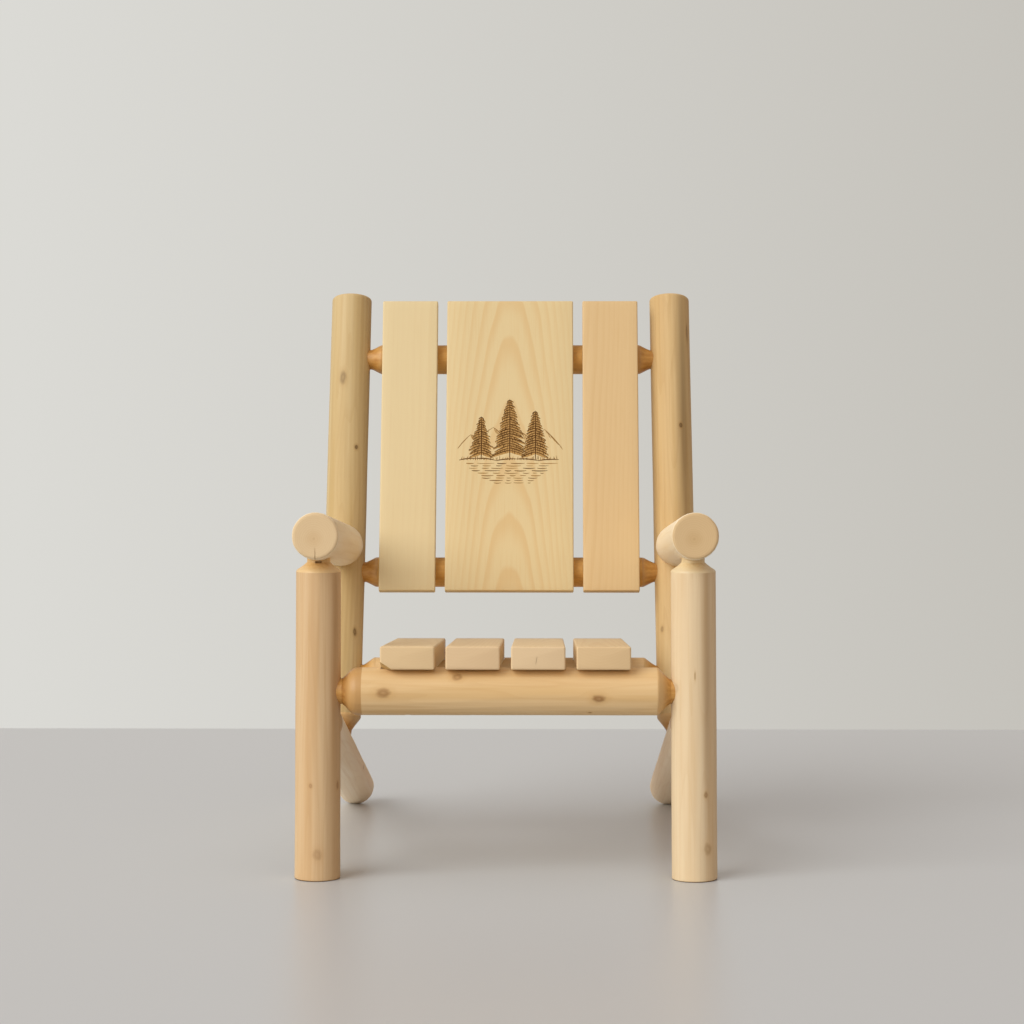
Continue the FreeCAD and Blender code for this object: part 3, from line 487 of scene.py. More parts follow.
# %% Sawn cedar end grain
RING_SPACING = 3.4 * MM
RING_BEND = 22 * MM
BEND_DEPTH = 5 * MM
PITH_OFFSET = (-0.2 * MM, -7.4 * MM, 0.0)
DARK_HEART = (20 * MM, 3 * MM)  # from the pith, where a tone starts and where it is full
PITH = (3.2 * MM, 1.2 * MM)
PITH_COLOUR = "#7E5A30"
SAW_MARK = (1.4 * MM, 30 * MM)


def sawn_end_grain(name, early, late):
    """Dull and slightly rough, with rings that darken outwards in each year's growth."""
    material, tree, shader = new_material(name)
    place = add(tree, "TexCoord").outputs["Object"]
    across = add(tree, "VectorMath", {0: place, 1: ACROSS_GRAIN}, operation="MULTIPLY")
    bend = add(tree, "TexNoise", {"Vector": across, "Scale": 1 / RING_BEND, "Detail": 2.0}).outputs["Color"]
    pull = add(tree, "VectorMath", {0: bend, 1: (BEND_DEPTH,) * 3, 2: PITH_OFFSET}, operation="MULTIPLY_ADD")
    warped = add(tree, "VectorMath", {0: across, 1: pull}, operation="ADD")
    reach = add(tree, "VectorMath", {0: warped}, operation="LENGTH")
    years = add(tree, "Math", {0: reach, 1: RING_SPACING}, operation="DIVIDE")
    season = add(tree, "Math", {0: years}, operation="FRACT")
    latewood = add(tree, "MapRange", {0: season, 1: 0.35, 2: 0.95, 4: 0.16}, **SOFT)
    heart = add(tree, "MapRange", {0: reach, 1: DARK_HEART[0], 2: DARK_HEART[1], 4: 0.3}, **SOFT)
    pith = add(tree, "MapRange", {0: reach, 1: PITH[0], 2: PITH[1], 4: 0.35}, **SOFT)
    colour = early
    for factor, over in ((latewood, late), (heart, late), (pith, PITH_COLOUR)):
        colour = add(tree, "Mix", {FACTOR: factor, FIRST: colour, SECOND: over}, **COLOURS)
    scale = (1 / SAW_MARK[0], 1 / SAW_MARK[1], 0.0)
    stretched = add(tree, "VectorMath", {0: place, 1: scale}, operation="MULTIPLY")
    saw = add(tree, "TexNoise", {"Vector": stretched, "Scale": 1.0, "Detail": 2.0})
    relief = add(tree, "Bump", {"Height": saw, "Strength": 0.25, "Distance": 0.3 * MM})
    connect(tree, shader, {"Base Color": colour, "Roughness": 0.75, "IOR": WOOD_IOR,
                           "Specular IOR Level": 0.25, "Normal": relief})
    return material


# Light and dark heartwood, cutter grooves and sapwood
HEARTWOODS = {
    "pale": ("#ECDAB0", "#E1C794", "#C29A5E", "#E3D0A8"),
    "tan": ("#E6C488", "#D4A864", "#A4763A", "#E4C48E"),
    "golden": ("#D2A054", "#B88038", "#8E5C22", "#D9B47C"),
    "oiled": ("#B98642", "#9E6A2C", "#80521E", "#C89C60"),
    "rosy": ("#CFA068", "#B58248", "#8E6230", "#DCBE94"),
}
heartwood = {kind: turned_heartwood(f"turned_{kind}_cedar", *colours) for kind, colours in HEARTWOODS.items()}
end_grain = {
    "pale": sawn_end_grain("sawn_pale_end_grain", "#DCC39A", "#C6A474"),
    "golden": sawn_end_grain("sawn_golden_end_grain", "#D2B68A", "#B99764"),
    # The feet's end grain is painted dark: painted contact shadow where the foot meets the floor
    "darkened": sawn_end_grain("sawn_worn_foot", "#7C5E3A", "#5E4226"),
}
print("turned and sawn cedar", len(heartwood) + len(end_grain))

# %% [markdown]
# ## Round logs
# A log could be a lathe profile with a screw modifier, but a peeled log isn't a lathe part: the
# drawknife leaves long shallow flats, branches leave low swellings, and drying opens cracks at the
# sawn ends. So each log is a grid of rings and columns whose radius is worked out point by point.
# Every change goes inwards, so a log never stands outside its solid. Holes, saddles and
# planed seats are then cut with the tools that cut the real ones: a drill, a hole saw and a plane.

# %% The surface of a peeled log
FACETS = 17
FACET_SHARE = 0.55
SLOW_DRIFT = (0.5, 180 * MM)    # how far the facets wander, and over what length
QUICK_DRIFT = (0.35, 70 * MM)
DRIFT_TURN = 0.22
UNEVEN_TURN = 0.3
WAVE_DEPTH = 0.35 * MM
WAVE_LENGTH = 160 * MM
WAVES_AROUND = 1.3
SEED_APART = 7
KNOT_RISE = 0.3 * MM
KNOT_REACH = 3.4
FAR_FROM_KNOTS = (100.0, 100.0, 0.0)


def drawknife_cut(angle, along, radius, seed):
    """How far the drawknife went below the full radius."""
    drift = (SLOW_DRIFT[0] * sin(along / SLOW_DRIFT[1] + seed)
             + QUICK_DRIFT[0] * sin(along / QUICK_DRIFT[1] + 2 * seed))
    pitch = tau / FACETS
    within = (angle + DRIFT_TURN * drift + UNEVEN_TURN * sin(2 * angle + seed)) % pitch - pitch / 2
    facet = radius * (1 - cos(pitch / 2) / cos(within))
    place = Vector((cos(angle) * WAVES_AROUND, sin(angle) * WAVES_AROUND,
                    along / WAVE_LENGTH + SEED_APART * seed))
    return FACET_SHARE * max(facet, 0) + WAVE_DEPTH * (1 + noise.noise(place)) / 2 + KNOT_RISE


def mark_offset(angle, along, radius, mark):
    """Offset from a knot, a stain or a mark of painted shade to a place on a log, in its half widths and half
    lengths.
    """
    mark_angle, mark_along, wide, long = mark[:4]
    around = (angle - mark_angle + pi) % tau - pi
    return around * radius / wide, (along - mark_along) / long


def nearest_knot(angle, along, radius, knots):
    """Offset from the nearest knot, with its darkness, and how far it swells."""
    best = FAR_FROM_KNOTS
    swell = 0.0
    closest = KNOT_REACH
    for knot in knots:
        offset = mark_offset(angle, along, radius, knot)
        distance = hypot(*offset)
        if distance < closest:
            closest = distance
            best = (*offset, knot[-1])
            swell = KNOT_RISE * exp(-distance * distance / 2)
    return best, swell


def stain_at(angle, along, radius, stains_and_shade):
    """How far the wood is darkened by a long brown stain that is partly painted shade, fading out from its
    middle.
    """
    shade = 0.0
    for stain in stains_and_shade:
        away = hypot(*mark_offset(angle, along, radius, stain))
        shade = max(shade, stain[-1] * exp(-away * away))
    return shade


# %% Shapes made of rings
def circle(radius, height, sides):
    """Points of a ring about Z."""
    angles = [tau * side / sides for side in range(sides)]
    return [(radius * cos(angle), radius * sin(angle), height) for angle in angles]


def wall_faces(rings, sides, start=0):
    """Faces between rings of points that follow one another."""
    faces = []
    for low in range(start, start + (rings - 1) * sides, sides):
        high = low + sides
        for side in range(sides):
            after = (side + 1) % sides
            faces.append((low + side, low + after, high + after, high + side))
    return faces


def closed_faces(rings, sides):
    """Faces of rings of points, with a point before and a point after them that close both ends."""
    top = 1 + (rings - 1) * sides
    faces = [(0, 1 + (side + 1) % sides, 1 + side) for side in range(sides)]
    faces += wall_faces(rings, sides, 1)
    return faces + [(top + side, top + (side + 1) % sides, top + sides) for side in range(sides)]


def capped_faces(rings, sides):
    """Faces of rings of points, with one face over each end."""
    count = rings * sides
    return [tuple(reversed(range(sides))), tuple(range(count - sides, count))] + wall_faces(rings, sides)


# %% A log as a closed mesh
COLUMNS = 96
RING_STEP = 4 * MM
CAP_SHARES = (0.93, 0.82, 0.7, 0.58, 0.46, 0.34, 0.22, 0.1)
CAP_HOLLOW = 0.5 * MM
CHECK_FROM = 0.65               # a drying crack reaches in from the rim to this share of the radius
TURNED_FROM = 0.85              # below this share of the full radius no peeled surface is left
ZONES = ("peeled", "turned", "sawn", "oiled")


def filled_rings(profile):
    """The profile's stations with more rings between those that lie far apart on peeled wood."""
    rings = []
    for (along, radius, zone), following in zip(profile, profile[1:]):
        gap = following[0] - along
        count = max(1, round(gap / RING_STEP)) if zone == "peeled" else 1
        for step in range(count):
            share = step / count
            rings.append((along + gap * share, radius + (following[1] - radius) * share, zone))
    return rings + [profile[-1]]


def log_mesh(name, profile, knots, checks, seed):
    """Rings and columns about Z, closed by two sawn ends. A check is a drying crack:
    its angle, the end that it starts from, how far it runs, its width and its depth."""
    rings = filled_rings(profile)
    first = rings[0]
    last = rings[-1]
    full = max(station[1] for station in rings)
    stack = [(*first[:2], "sawn", share) for share in reversed(CAP_SHARES)]
    stack += [(*station, 1.0) for station in rings]
    stack += [(*last[:2], "sawn", share) for share in CAP_SHARES]
    angles = [tau * column / COLUMNS for column in range(COLUMNS)]
    cracks = {}
    for angle, end, run, width, depth in checks:
        column = round(angle / tau * COLUMNS) % COLUMNS
        cracks[column] = (end, run, depth)
        for step in (-1, 1):
            angles[(column + step) % COLUMNS] = angles[column] + step * width / 2 / first[1]
    points = [(0, 0, first[0] + CAP_HOLLOW)]
    zones = ["sawn"]
    for along, radius, zone, share in stack:
        sink = CAP_HOLLOW * (1 - share)
        fade = 1.0
        if zone in ("turned", "oiled"):
            fade = min(max((radius / full - TURNED_FROM) / (1 - TURNED_FROM), 0.0), 1.0)
        for column, angle in enumerate(angles):
            reach = radius
            height = along + (sink if along == first[0] else -sink)
            if fade > 0:
                swell = nearest_knot(angle, along, radius, knots)[1]
                reach -= fade * (drawknife_cut(angle, along, radius, seed) - swell)
            reach *= share
            if column in cracks:
                end, run, depth = cracks[column]
                start = (first, last)[end][0]
                if share == 1.0:
                    reach -= depth * max(0.0, 1 - abs(along - start) / run)
                elif along == start:
                    opened = depth * max(0.0, (share - CHECK_FROM) / (1 - CHECK_FROM))
                    height += opened if end == 0 else -opened
            points.append((reach * cos(angle), reach * sin(angle), height))
        zones.append(zone)
    points.append((0, 0, last[0] - CAP_HOLLOW))
    zones[-len(CAP_SHARES) - 1] = "sawn"
    mesh = new_mesh(name, points, closed_faces(len(stack), COLUMNS))
    slots = [ZONES.index(zone) for zone in zones for column in range(COLUMNS)]
    mesh.polygons.foreach_set("material_index", slots)
    return mesh


# %% Drills, saws and planes
DRILL_SIDES = 48


def drill(matrix, radius, start, end):
    """A closed round cutter along a frame's Z."""
    points = circle(radius, start, DRILL_SIDES) + circle(radius, end, DRILL_SIDES)
    return [matrix @ Vector(point) for point in points], capped_faces(2, DRILL_SIDES)


def plane_cut(matrix, low, high):
    """A closed square cutter between two corners in a frame."""
    corners = [(x, y, z) for z in (low[2], high[2]) for y in (low[1], high[1]) for x in (low[0], high[0])]
    faces = [(0, 2, 3, 1), (4, 5, 7, 6), (0, 1, 5, 4), (2, 6, 7, 3), (0, 4, 6, 2), (1, 3, 7, 5)]
    return [matrix @ Vector(corner) for corner in corners], faces


def joined_mesh(name, shapes, material):
    """One mesh of several closed shapes, each a list of points and a list of faces."""
    points = []
    faces = []
    for shape_points, shape_faces in shapes:
        start = len(points)
        points += shape_points
        faces += [tuple(start + index for index in face) for face in shape_faces]
    return new_mesh(name, points, faces, material)


def discard(thing):
    """Takes an object and its mesh out of the file."""
    mesh = thing.data
    bpy.data.objects.remove(thing)
    bpy.data.meshes.remove(mesh)


def carve(piece, cutters, finish):
    """Cuts all the cutters out of a piece at once, with a finish for the cut faces."""
    tool = stand("tool", joined_mesh("tool", cutters, finish))
    cut = piece.modifiers.new("cut", "BOOLEAN")
    cut.operation = "DIFFERENCE"
    cut.solver = "EXACT"
    cut.material_mode = "TRANSFER"
    cut.object = tool
    bpy.context.view_layer.update()
    whole = piece.data
    result = piece.evaluated_get(bpy.context.evaluated_depsgraph_get())
    piece.data = bpy.data.meshes.new_from_object(result)
    piece.data.name = whole.name
    piece.modifiers.clear()
    discard(tool)
    bpy.data.meshes.remove(whole)


# %% From mesh to piece
SMOOTH_ANGLE = radians(32)


def place_piece(name, mesh, matrix, nodes):
    """Stands a mesh in its frame, rides it on the chair and lets it stand for its solids."""
    piece = stand(name, mesh)
    piece.matrix_world = matrix
    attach(piece, "root")
    if nodes:
        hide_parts(*nodes)
    return piece


def smooth(piece):
    piece.data.shade_smooth()
    piece.data.set_sharp_from_angle(angle=SMOOTH_ANGLE)


def stand_on_floor(mesh, matrix):
    """Saws off level whatever reaches below the floor."""
    back = matrix.inverted()
    for vertex in mesh.vertices:
        spot = matrix @ vertex.co
        if spot.z < 0:
            spot.z = 0
            vertex.co = back @ spot


def mark_wood(mesh, knots, stains_and_shade):
    """Stores on each vertex its offset to the nearest knot and its stain, partly painted shade, for the
    cedar's pattern.
    """
    offsets = []
    shades = []
    for vertex in mesh.vertices:
        x, y, along = vertex.co
        spot = (atan2(y, x), along, hypot(x, y))
        offsets += nearest_knot(*spot, knots)[0]
        shades.append(stain_at(*spot, stains_and_shade))
    mesh.attributes.new("knot", "FLOAT_VECTOR", "POINT").data.foreach_set("vector", offsets)
    mesh.attributes.new("stain", "FLOAT", "POINT").data.foreach_set("value", shades)


# %% Knots, stains and painted shade
HIDDEN_KNOTS = 4
HIDDEN_SIZE = (3, 6.5)
HIDDEN_STRETCH = (1.1, 1.6)
HIDDEN_DARKNESS = (0.3, 0.65)
HIDDEN_TURN = 1.3
# Pixel of the middle, then half width and half length in millimetres, and darkness
SHOWN_KNOTS_AND_SHADE = {
    "back_post_left": (((343, 377), (5.5, 11, 0.55)), ((356.5, 447), (3, 4, 0.95)),
                       ((355, 632), (3.5, 6, 0.8))),
    "back_post_right": (((681, 425), (3, 4, 0.95)), ((662, 629), (3, 5, 0.5)),
                        ((687, 333), (2.5, 14, 0.6))),
    "front_leg_left": (((310.5, 786), (3, 3.5, 0.5)), ((337.5, 785), (3, 6, 0.6)),
                       ((317, 855), (6.5, 8, 0.35))),
    "front_leg_right": (((706, 795), (3, 5, 0.8)), ((695, 676), (1.2, 6, 0.7)),
                        ((708, 849), (6, 9, 0.5)), ((676, 688), (5, 8, 0.3))),
    # The dark mark on the right arm, drawn as a knot, is painted shade in the gap at the top of the leg's
    # shoulder
    "arm_right": (((674, 564), (3, 4, 0.95)),),
    "front_seat_rail": (((383, 693), (7, 10.5, 0.75)), ((457.5, 677), (6, 7, 0.65)),
                        ((599, 699), (5.5, 9.5, 0.9)), ((590, 713), (2, 3, 0.8))),
    "rear_leg_left": (((364, 767), (4, 6, 0.6)),),
}
# Long marks on the right, shaded side of three logs: partly brown stains, partly painted shade
SHOWN_STAINS_AND_SHADE = {
    "front_leg_left": (((335, 640), (9, 220, 0.3)),),
    "front_leg_right": (((706, 660), (8, 260, 0.45)),),
    "back_post_right": (((683, 410), (11, 260, 0.45)),),
}


def mark_at(pixel, matrix, radius, wide, long, darkness):
    """A knot, a stain or a mark of painted shade where the camera's ray through a pixel of the image meets a
    log.
    """
    to_log = matrix.inverted()
    ray = Vector(((pixel[0] - IMAGE_SIZE / 2) / FOCAL_PIXELS,
                  (IMAGE_SIZE / 2 - pixel[1]) / FOCAL_PIXELS, -1.0))
    start = to_log @ viewer.matrix_world.translation
    way = to_log.to_3x3() @ viewer.matrix_world.to_3x3() @ ray
    square = way.x ** 2 + way.y ** 2
    middle = start.x * way.x + start.y * way.y
    rest = start.x ** 2 + start.y ** 2 - radius ** 2
    depth = (-middle - sqrt(max(middle ** 2 - square * rest, 0))) / square
    spot = start + way * depth
    return atan2(spot.y, spot.x), spot.z, wide * MM, long * MM, darkness


def marks_shown(marks, log, matrix, radius):
    """The knots, stains and painted shade that the photograph shows on a log."""
    return [mark_at(pixel, matrix, radius, *size) for pixel, size in marks.get(log, ())]


def knots_behind(log, matrix, start, end):
    """A few knots on the far side of a log."""
    chance = random.Random(log)
    away = matrix.inverted().to_3x3() @ Vector((0, 1, 0))
    behind = atan2(away.y, away.x)
    knots = []
    for number in range(HIDDEN_KNOTS):
        size = chance.uniform(*HIDDEN_SIZE)
        along = start + (end - start) * (number + chance.random()) / HIDDEN_KNOTS
        knots.append((behind + chance.uniform(-HIDDEN_TURN, HIDDEN_TURN), along, size * MM,
                      size * chance.uniform(*HIDDEN_STRETCH) * MM, chance.uniform(*HIDDEN_DARKNESS)))
    return knots


# %% One log
# The finishes of each log: peeled, turned and sawn. A shoulder may also be oiled, a shade deeper
LOG_KINDS = {
    # The front legs' dark sawn finish is painted contact shadow at the floor
    "front_leg_left": ("tan", "tan", "darkened"), "front_leg_right": ("white", "pale", "darkened"),
    # The rear legs' rosy cedar is painted lighter, as painted light where the seat shades them
    "rear_leg_left": ("rosy", "rosy", "golden"), "rear_leg_right": ("rosy", "rosy", "golden"),
    "back_post_left": ("brown", "golden", "golden"), "back_post_right": ("honey", "golden", "golden"),
    "arm_left": ("cream", "golden", "pale"), "arm_right": ("cream", "golden", "golden"),
    "front_seat_rail": ("golden", "golden", "pale"), "rear_seat_rail": ("golden", "golden", "pale"),
    "lower_back_rail": ("amber", "golden", "pale"), "upper_back_rail": ("amber", "golden", "pale"),
}


def peeled_log(node, matrix, profile, radius, span, cutters, late_cutters=(), checks=(), on_floor=False):
    """One log of the chair, with knots along its span. Late cutters cross the others, so they cut later."""
    peeled, turned, sawn = LOG_KINDS[node]
    seed = 1 + list(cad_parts).index(node)
    knots = marks_shown(SHOWN_KNOTS_AND_SHADE, node, matrix, radius) + knots_behind(node, matrix, *span)
    mesh = log_mesh("peeled_" + node, profile, knots, checks, seed)
    for material in (cedar[peeled], heartwood[turned], end_grain[sawn], heartwood["oiled"]):
        mesh.materials.append(material)
    if on_floor:
        stand_on_floor(mesh, matrix)
    piece = place_piece("peeled_" + node, mesh, matrix, [node])
    for tools in (cutters, late_cutters):
        if tools:
            carve(piece, tools, heartwood[turned])
    mark_wood(piece.data, knots, marks_shown(SHOWN_STAINS_AND_SHADE, node, matrix, profile[len(profile) // 2][1]))
    smooth(piece)
    low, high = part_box(node)
    corners = [piece.matrix_world @ vertex.co for vertex in piece.data.vertices]
    apart = max(max(low[axis] - min(corner[axis] for corner in corners),
                    max(corner[axis] for corner in corners) - high[axis]) for axis in range(3))
    print(node, len(piece.data.polygons), "faces, outside its solid by", round(apart / MM, 2), "mm")


# %% Profiles
SHOULDER_SAG = 0.06
RIM_LENGTH = 4 * MM
RIM_STEPS = 5
CONE_STEPS = 7
ARC_STEPS = 5
SAWN_STEPS = 3
TENON_SHOWN = 14 * MM


def eased(along, radius, easing, opening, sawn_steps=SAWN_STEPS):
    """Stations of a rounded end: opening at the start of a log, or closing at its end."""
    stations = []
    for step in range(ARC_STEPS):
        angle = QUARTER * step / ARC_STEPS
        if opening:
            stations.append((along + easing * (1 - cos(angle)), radius - easing * (1 - sin(angle)),
                             "sawn" if step < sawn_steps else "peeled"))
        else:
            stations.append((along - easing * (1 - sin(angle)), radius - easing * (1 - cos(angle)),
                             "peeled" if step < ARC_STEPS - sawn_steps else "sawn"))
    return stations


def shoulder(start, start_radius, end, end_radius, rim=RIM_LENGTH, zone="turned"):
    """Stations of a turned cone between two radii, slightly hollow, with a rounded rim at its wide end."""
    wide = max(start_radius, end_radius)
    narrow = min(start_radius, end_radius)
    length = end - start
    slope = (wide - narrow) / length
    stations = []
    for step in range(RIM_STEPS + 1):
        reach = rim * (step / RIM_STEPS - 0.5)
        drop = slope * (reach + rim / 2) ** 2 / (2 * rim)
        stations.append((reach, wide - drop))
    for step in range(1, CONE_STEPS):
        share = step / CONE_STEPS
        reach = rim / 2 + (length - rim / 2) * share
        sag = SHOULDER_SAG * 4 * share * (1 - share) * (wide - narrow)
        stations.append((reach, wide - slope * reach - sag))
    if start_radius > end_radius:
        return [(start + reach, radius, zone) for reach, radius in stations]
    return [(end - reach, radius, zone) for reach, radius in reversed(stations)]


def tenon_end(along, radius):
    """Stations of the tenon that shows beyond a shoulder."""
    return [(along, radius, "turned"), (along + TENON_SHOWN, radius, "turned")]


def tenoned(start, tenon_radius, full, radius, end, easing):
    """Stations of a log from a tenon and its shoulder to an eased, sawn end."""
    return [(start - TENON_SHOWN, tenon_radius, "turned"), *shoulder(start, tenon_radius, full, radius),
            (full + RIM_LENGTH, radius, "peeled"), *eased(end, radius, easing, False),
            (end, radius - easing, "sawn")]


# %% [markdown]
# ## The side frames
# Each front leg stands on its sawn foot and carries its arm on a tenon. The rear leg is a log that
# runs from behind the front leg down to the floor, sawn flat where it touches it. The back post
# stands square on it. The arm's rear end is hollowed with a hole saw of the post's own size, so it
# sits against the round post without a gap. Each kind of log is made in one loop for both sides.

# %% Holes for tenons and screws
SEAM = 0.6 * MM
LOCK_RECESS = 3 * MM
HEAD_RADIUS = 5 * MM
HEAD_HEIGHT = 3.1 * MM
HEAD_ROOM = 0.25 * MM
CUT_REACH = 8 * MM
seat_tenon = (SEAT_RAIL_TENON_RADIUS, SEAT_RAIL_SHOULDER_LENGTH)
back_tenon = (BACK_RAIL_TENON_RADIUS, BACK_RAIL_SHOULDER_LENGTH)
RAILS = {
    "front_seat_rail": (FRONT_RAIL_RADIUS, *seat_tenon, front_rail_reach),
    "rear_seat_rail": (REAR_RAIL_RADIUS, *seat_tenon, rear_rail_reach),
    "lower_back_rail": (BACK_RAIL_RADIUS, *back_tenon, lower_rail_reach),
    "upper_back_rail": (BACK_RAIL_RADIUS, *back_tenon, upper_rail_reach),
}
into_wood = turn(QUARTER, "X")
lock_spots = []


def rail_mortise(rail, sign):
    """The hole that one end of a rail goes into."""
    radius, tenon_radius, length, reach = RAILS[rail]
    ends = sorted((sign * (reach - CUT_REACH), sign * (reach + TENON_SHOWN + SEAM)))
    return drill(rail_frame[rail], tenon_radius + SEAM, *ends)


def log_mortise(matrix, tenon_radius, start):
    """The hole that the tenon at the start of a log goes into."""
    return drill(matrix, tenon_radius + SEAM, start - TENON_SHOWN - SEAM, start + CUT_REACH)


def screw_recess(matrix, reach):
    """The countersunk room for a screw's head, reaching back out of the wood."""
    return drill(matrix, HEAD_RADIUS + HEAD_ROOM, -reach, HEAD_HEIGHT)


def lock_recess(matrix, radius, along):
    """The room for a screw that locks a rail's tenon from behind, whose place is kept."""
    lock_spots.append(matrix @ move(0, radius - LOCK_RECESS, along) @ into_wood)
    return screw_recess(lock_spots[-1], 2 * LOCK_RECESS)


# %% Front legs
FOOT_EASING = 3 * MM
FOOT_ALLOWANCE = 0.6 * MM
GAP_ACROSS = (-4 * MM, 7 * MM)  # a small gap at the front of the left leg's tenon, under its arm
GAP_UP = (-1.2 * MM, 2.4 * MM)
leg_top = LEG_SHOULDER + LEG_SHOULDER_LENGTH
# Most of the foot's rounding takes the dark sawn finish, as painted contact shadow along the floor
profile = [*eased(-FOOT_ALLOWANCE, LEG_FOOT_RADIUS, FOOT_EASING, True, ARC_STEPS - 1),
           (FOOT_EASING, LEG_FOOT_RADIUS, "peeled"),
           *shoulder(LEG_SHOULDER, LEG_TOP_RADIUS, leg_top, LEG_TENON_RADIUS),
           *tenon_end(leg_top, LEG_TENON_RADIUS)]
gap = plane_cut(leg_frame["left"], (GAP_ACROSS[0], -LEG_TENON_RADIUS - CUT_REACH, leg_top + GAP_UP[0]),
                (GAP_ACROSS[1], CUT_REACH - LEG_TENON_RADIUS, leg_top + GAP_UP[1]))
gaps = {"left": [gap], "right": []}
for side, sign in SIDES.items():
    cutters = [
        rail_mortise("front_seat_rail", sign),
        log_mortise(rear_leg_frame[side], REAR_LEG_TENON_RADIUS, rear_leg_shoulder),
        lock_recess(leg_frame[side], leg_radius_at_rail, FRONT_RAIL_HEIGHT),
    ]
    peeled_log("front_leg_" + side, leg_frame[side], profile, LEG_TOP_RADIUS, (0.0, LEG_SHOULDER),
               cutters, gaps[side], on_floor=True)

# %% Rear legs
REAR_LEG_END_EASING = 3 * MM
full = rear_leg_shoulder + REAR_LEG_SHOULDER_LENGTH
profile = tenoned(rear_leg_shoulder, REAR_LEG_TENON_RADIUS, full, REAR_LEG_RADIUS, rear_leg_run,
                  REAR_LEG_END_EASING)
for side in SIDES:
    cutters = [log_mortise(post_frame[side], POST_TENON_RADIUS, post_shoulder)]
    peeled_log("rear_leg_" + side, rear_leg_frame[side], profile, REAR_LEG_RADIUS, (full, rear_leg_run),
               cutters, on_floor=True)

# %% Back posts
POST_TOP_EASING = 6 * MM
LAG_RECESS = 14 * MM
LAG_RECESS_RADIUS = 14 * MM
POST_RAILS = {"rear_seat_rail": rear_rail_on_post, "lower_back_rail": lower_rail_on_post,
              "upper_back_rail": upper_rail_on_post}
lag_seat = arm_run + post_half_along_arm - LAG_RECESS
full = post_shoulder + POST_SHOULDER_LENGTH
profile = tenoned(post_shoulder, POST_TENON_RADIUS, full, POST_RADIUS, post_top, POST_TOP_EASING)
for side, sign in SIDES.items():
    cutters = [drill(arm_frame[side], LAG_RECESS_RADIUS, lag_seat, lag_seat + 3 * LAG_RECESS)]
    for rail, along in POST_RAILS.items():
        cutters += [rail_mortise(rail, sign), lock_recess(post_frame[side], POST_RADIUS, along)]
    peeled_log("back_post_" + side, post_frame[side], profile, POST_RADIUS, (full, post_top), cutters)

# %% Arms
ARM_END_EASING = 5 * MM
COPE_ALLOWANCE = 0.6 * MM       # the peeled post is a little thinner than its full radius
NOTCH_RADIUS = 9 * MM
NOTCH_DEPTH = 5 * MM
NOTCH_PLACE = (6 * MM, -15 * MM, 0)
DOWN = QUARTER
# Drying cracks: angle, end of the log, run, width and depth
ARM_CHECKS = {"left": [(DOWN, 0, 45 * MM, 1.3 * MM, 7 * MM)], "right": []}
arm_end = arm_run - post_half_along_arm + ARM_COPE_DEPTH
profile = [*eased(-ARM_OVERHANG, ARM_RADIUS, ARM_END_EASING, True),
           (ARM_END_EASING - ARM_OVERHANG, ARM_RADIUS, "peeled"), (arm_end, ARM_RADIUS, "sawn")]
for side in SIDES:
    notch = drill(leg_frame[side] @ move(*NOTCH_PLACE), NOTCH_RADIUS, leg_top - CUT_REACH,
                  leg_top + NOTCH_DEPTH)
    cutters = [
        drill(leg_frame[side], LEG_TENON_RADIUS + SEAM, leg_top - CUT_REACH, leg_top + TENON_SHOWN + SEAM),
        drill(post_frame[side], POST_RADIUS - COPE_ALLOWANCE, arm_on_post - 2 * ARM_RADIUS,
              arm_on_post + 2 * ARM_RADIUS),
    ]
    peeled_log("arm_" + side, arm_frame[side], profile, ARM_RADIUS, (-ARM_OVERHANG, arm_end), cutters,
               [notch], ARM_CHECKS[side])

# %% [markdown]
# ## The rails
# Four rails tie the side frames together. Where slats and boards lie on them, the maker planes short
# flats, so the boards don't rock on a round log. Screws come up through the seat rails and in
# through the back rails from behind, each head sunk below the surface.

# %% Seats planed into the rails
SCREW_LENGTH = {"slat": 90 * MM, "board": 60 * MM, "lock": 50 * MM}
SLAT_SCREW_BITE = 30 * MM
BOARD_SCREW_BITE = 13 * MM
BOARD_SCREW_INSET = 26 * MM
SEAT_REACH = 60 * MM
SLAT_COUNT = 4
slat_places = [(number - (SLAT_COUNT - 1) / 2) * slat_pitch for number in range(SLAT_COUNT)]
board_places = {"left": (-side_board_place, SIDE_BOARD_WIDTH), "centre": (0.0, CENTRE_BOARD_WIDTH),
                "right": (side_board_place, SIDE_BOARD_WIDTH)}
slat_screw_head = slat_underside + SLAT_SCREW_BITE - SCREW_LENGTH["slat"]
board_screw_head = SCREW_LENGTH["board"] - BOARD_SCREW_BITE - board_underside
rail_cuts = {rail: [] for rail in RAILS}
slat_screw_spots = []
board_screw_spots = []
for rail, behind in (("front_seat_rail", 0.0), ("rear_seat_rail", seat_run)):
    half = SLAT_WIDTH / 2 + SEAT_CLEARANCE
    for across in slat_places:
        spot = seat_frame @ move(across, behind, slat_screw_head)
        slat_screw_spots.append(spot)
        rail_cuts[rail] += [
            plane_cut(seat_frame, (across - half, behind - SEAT_REACH, slat_underside),
                      (across + half, behind + SEAT_REACH, slat_underside + SLAT_THICKNESS)),
            screw_recess(spot, FRONT_RAIL_RADIUS),
        ]
for rail, height in (("lower_back_rail", 0.0), ("upper_back_rail", BACK_RAIL_SPACING)):
    for across, width in board_places.values():
        half = width / 2 + SEAT_CLEARANCE
        rail_cuts[rail].append(plane_cut(
            back_frame, (across - half, -board_underside - BOARD_THICKNESS, height - SEAT_REACH),
            (across + half, -board_underside, height + SEAT_REACH)))
        for edge in (-1, 1):
            inset = edge * (width / 2 - BOARD_SCREW_INSET)
            spot = back_frame @ move(across + inset, board_screw_head, height) @ into_wood
            board_screw_spots.append(spot)
            rail_cuts[rail].append(screw_recess(spot, 3 * LOCK_RECESS))
print("screws in the rails", len(slat_screw_spots) + len(board_screw_spots))

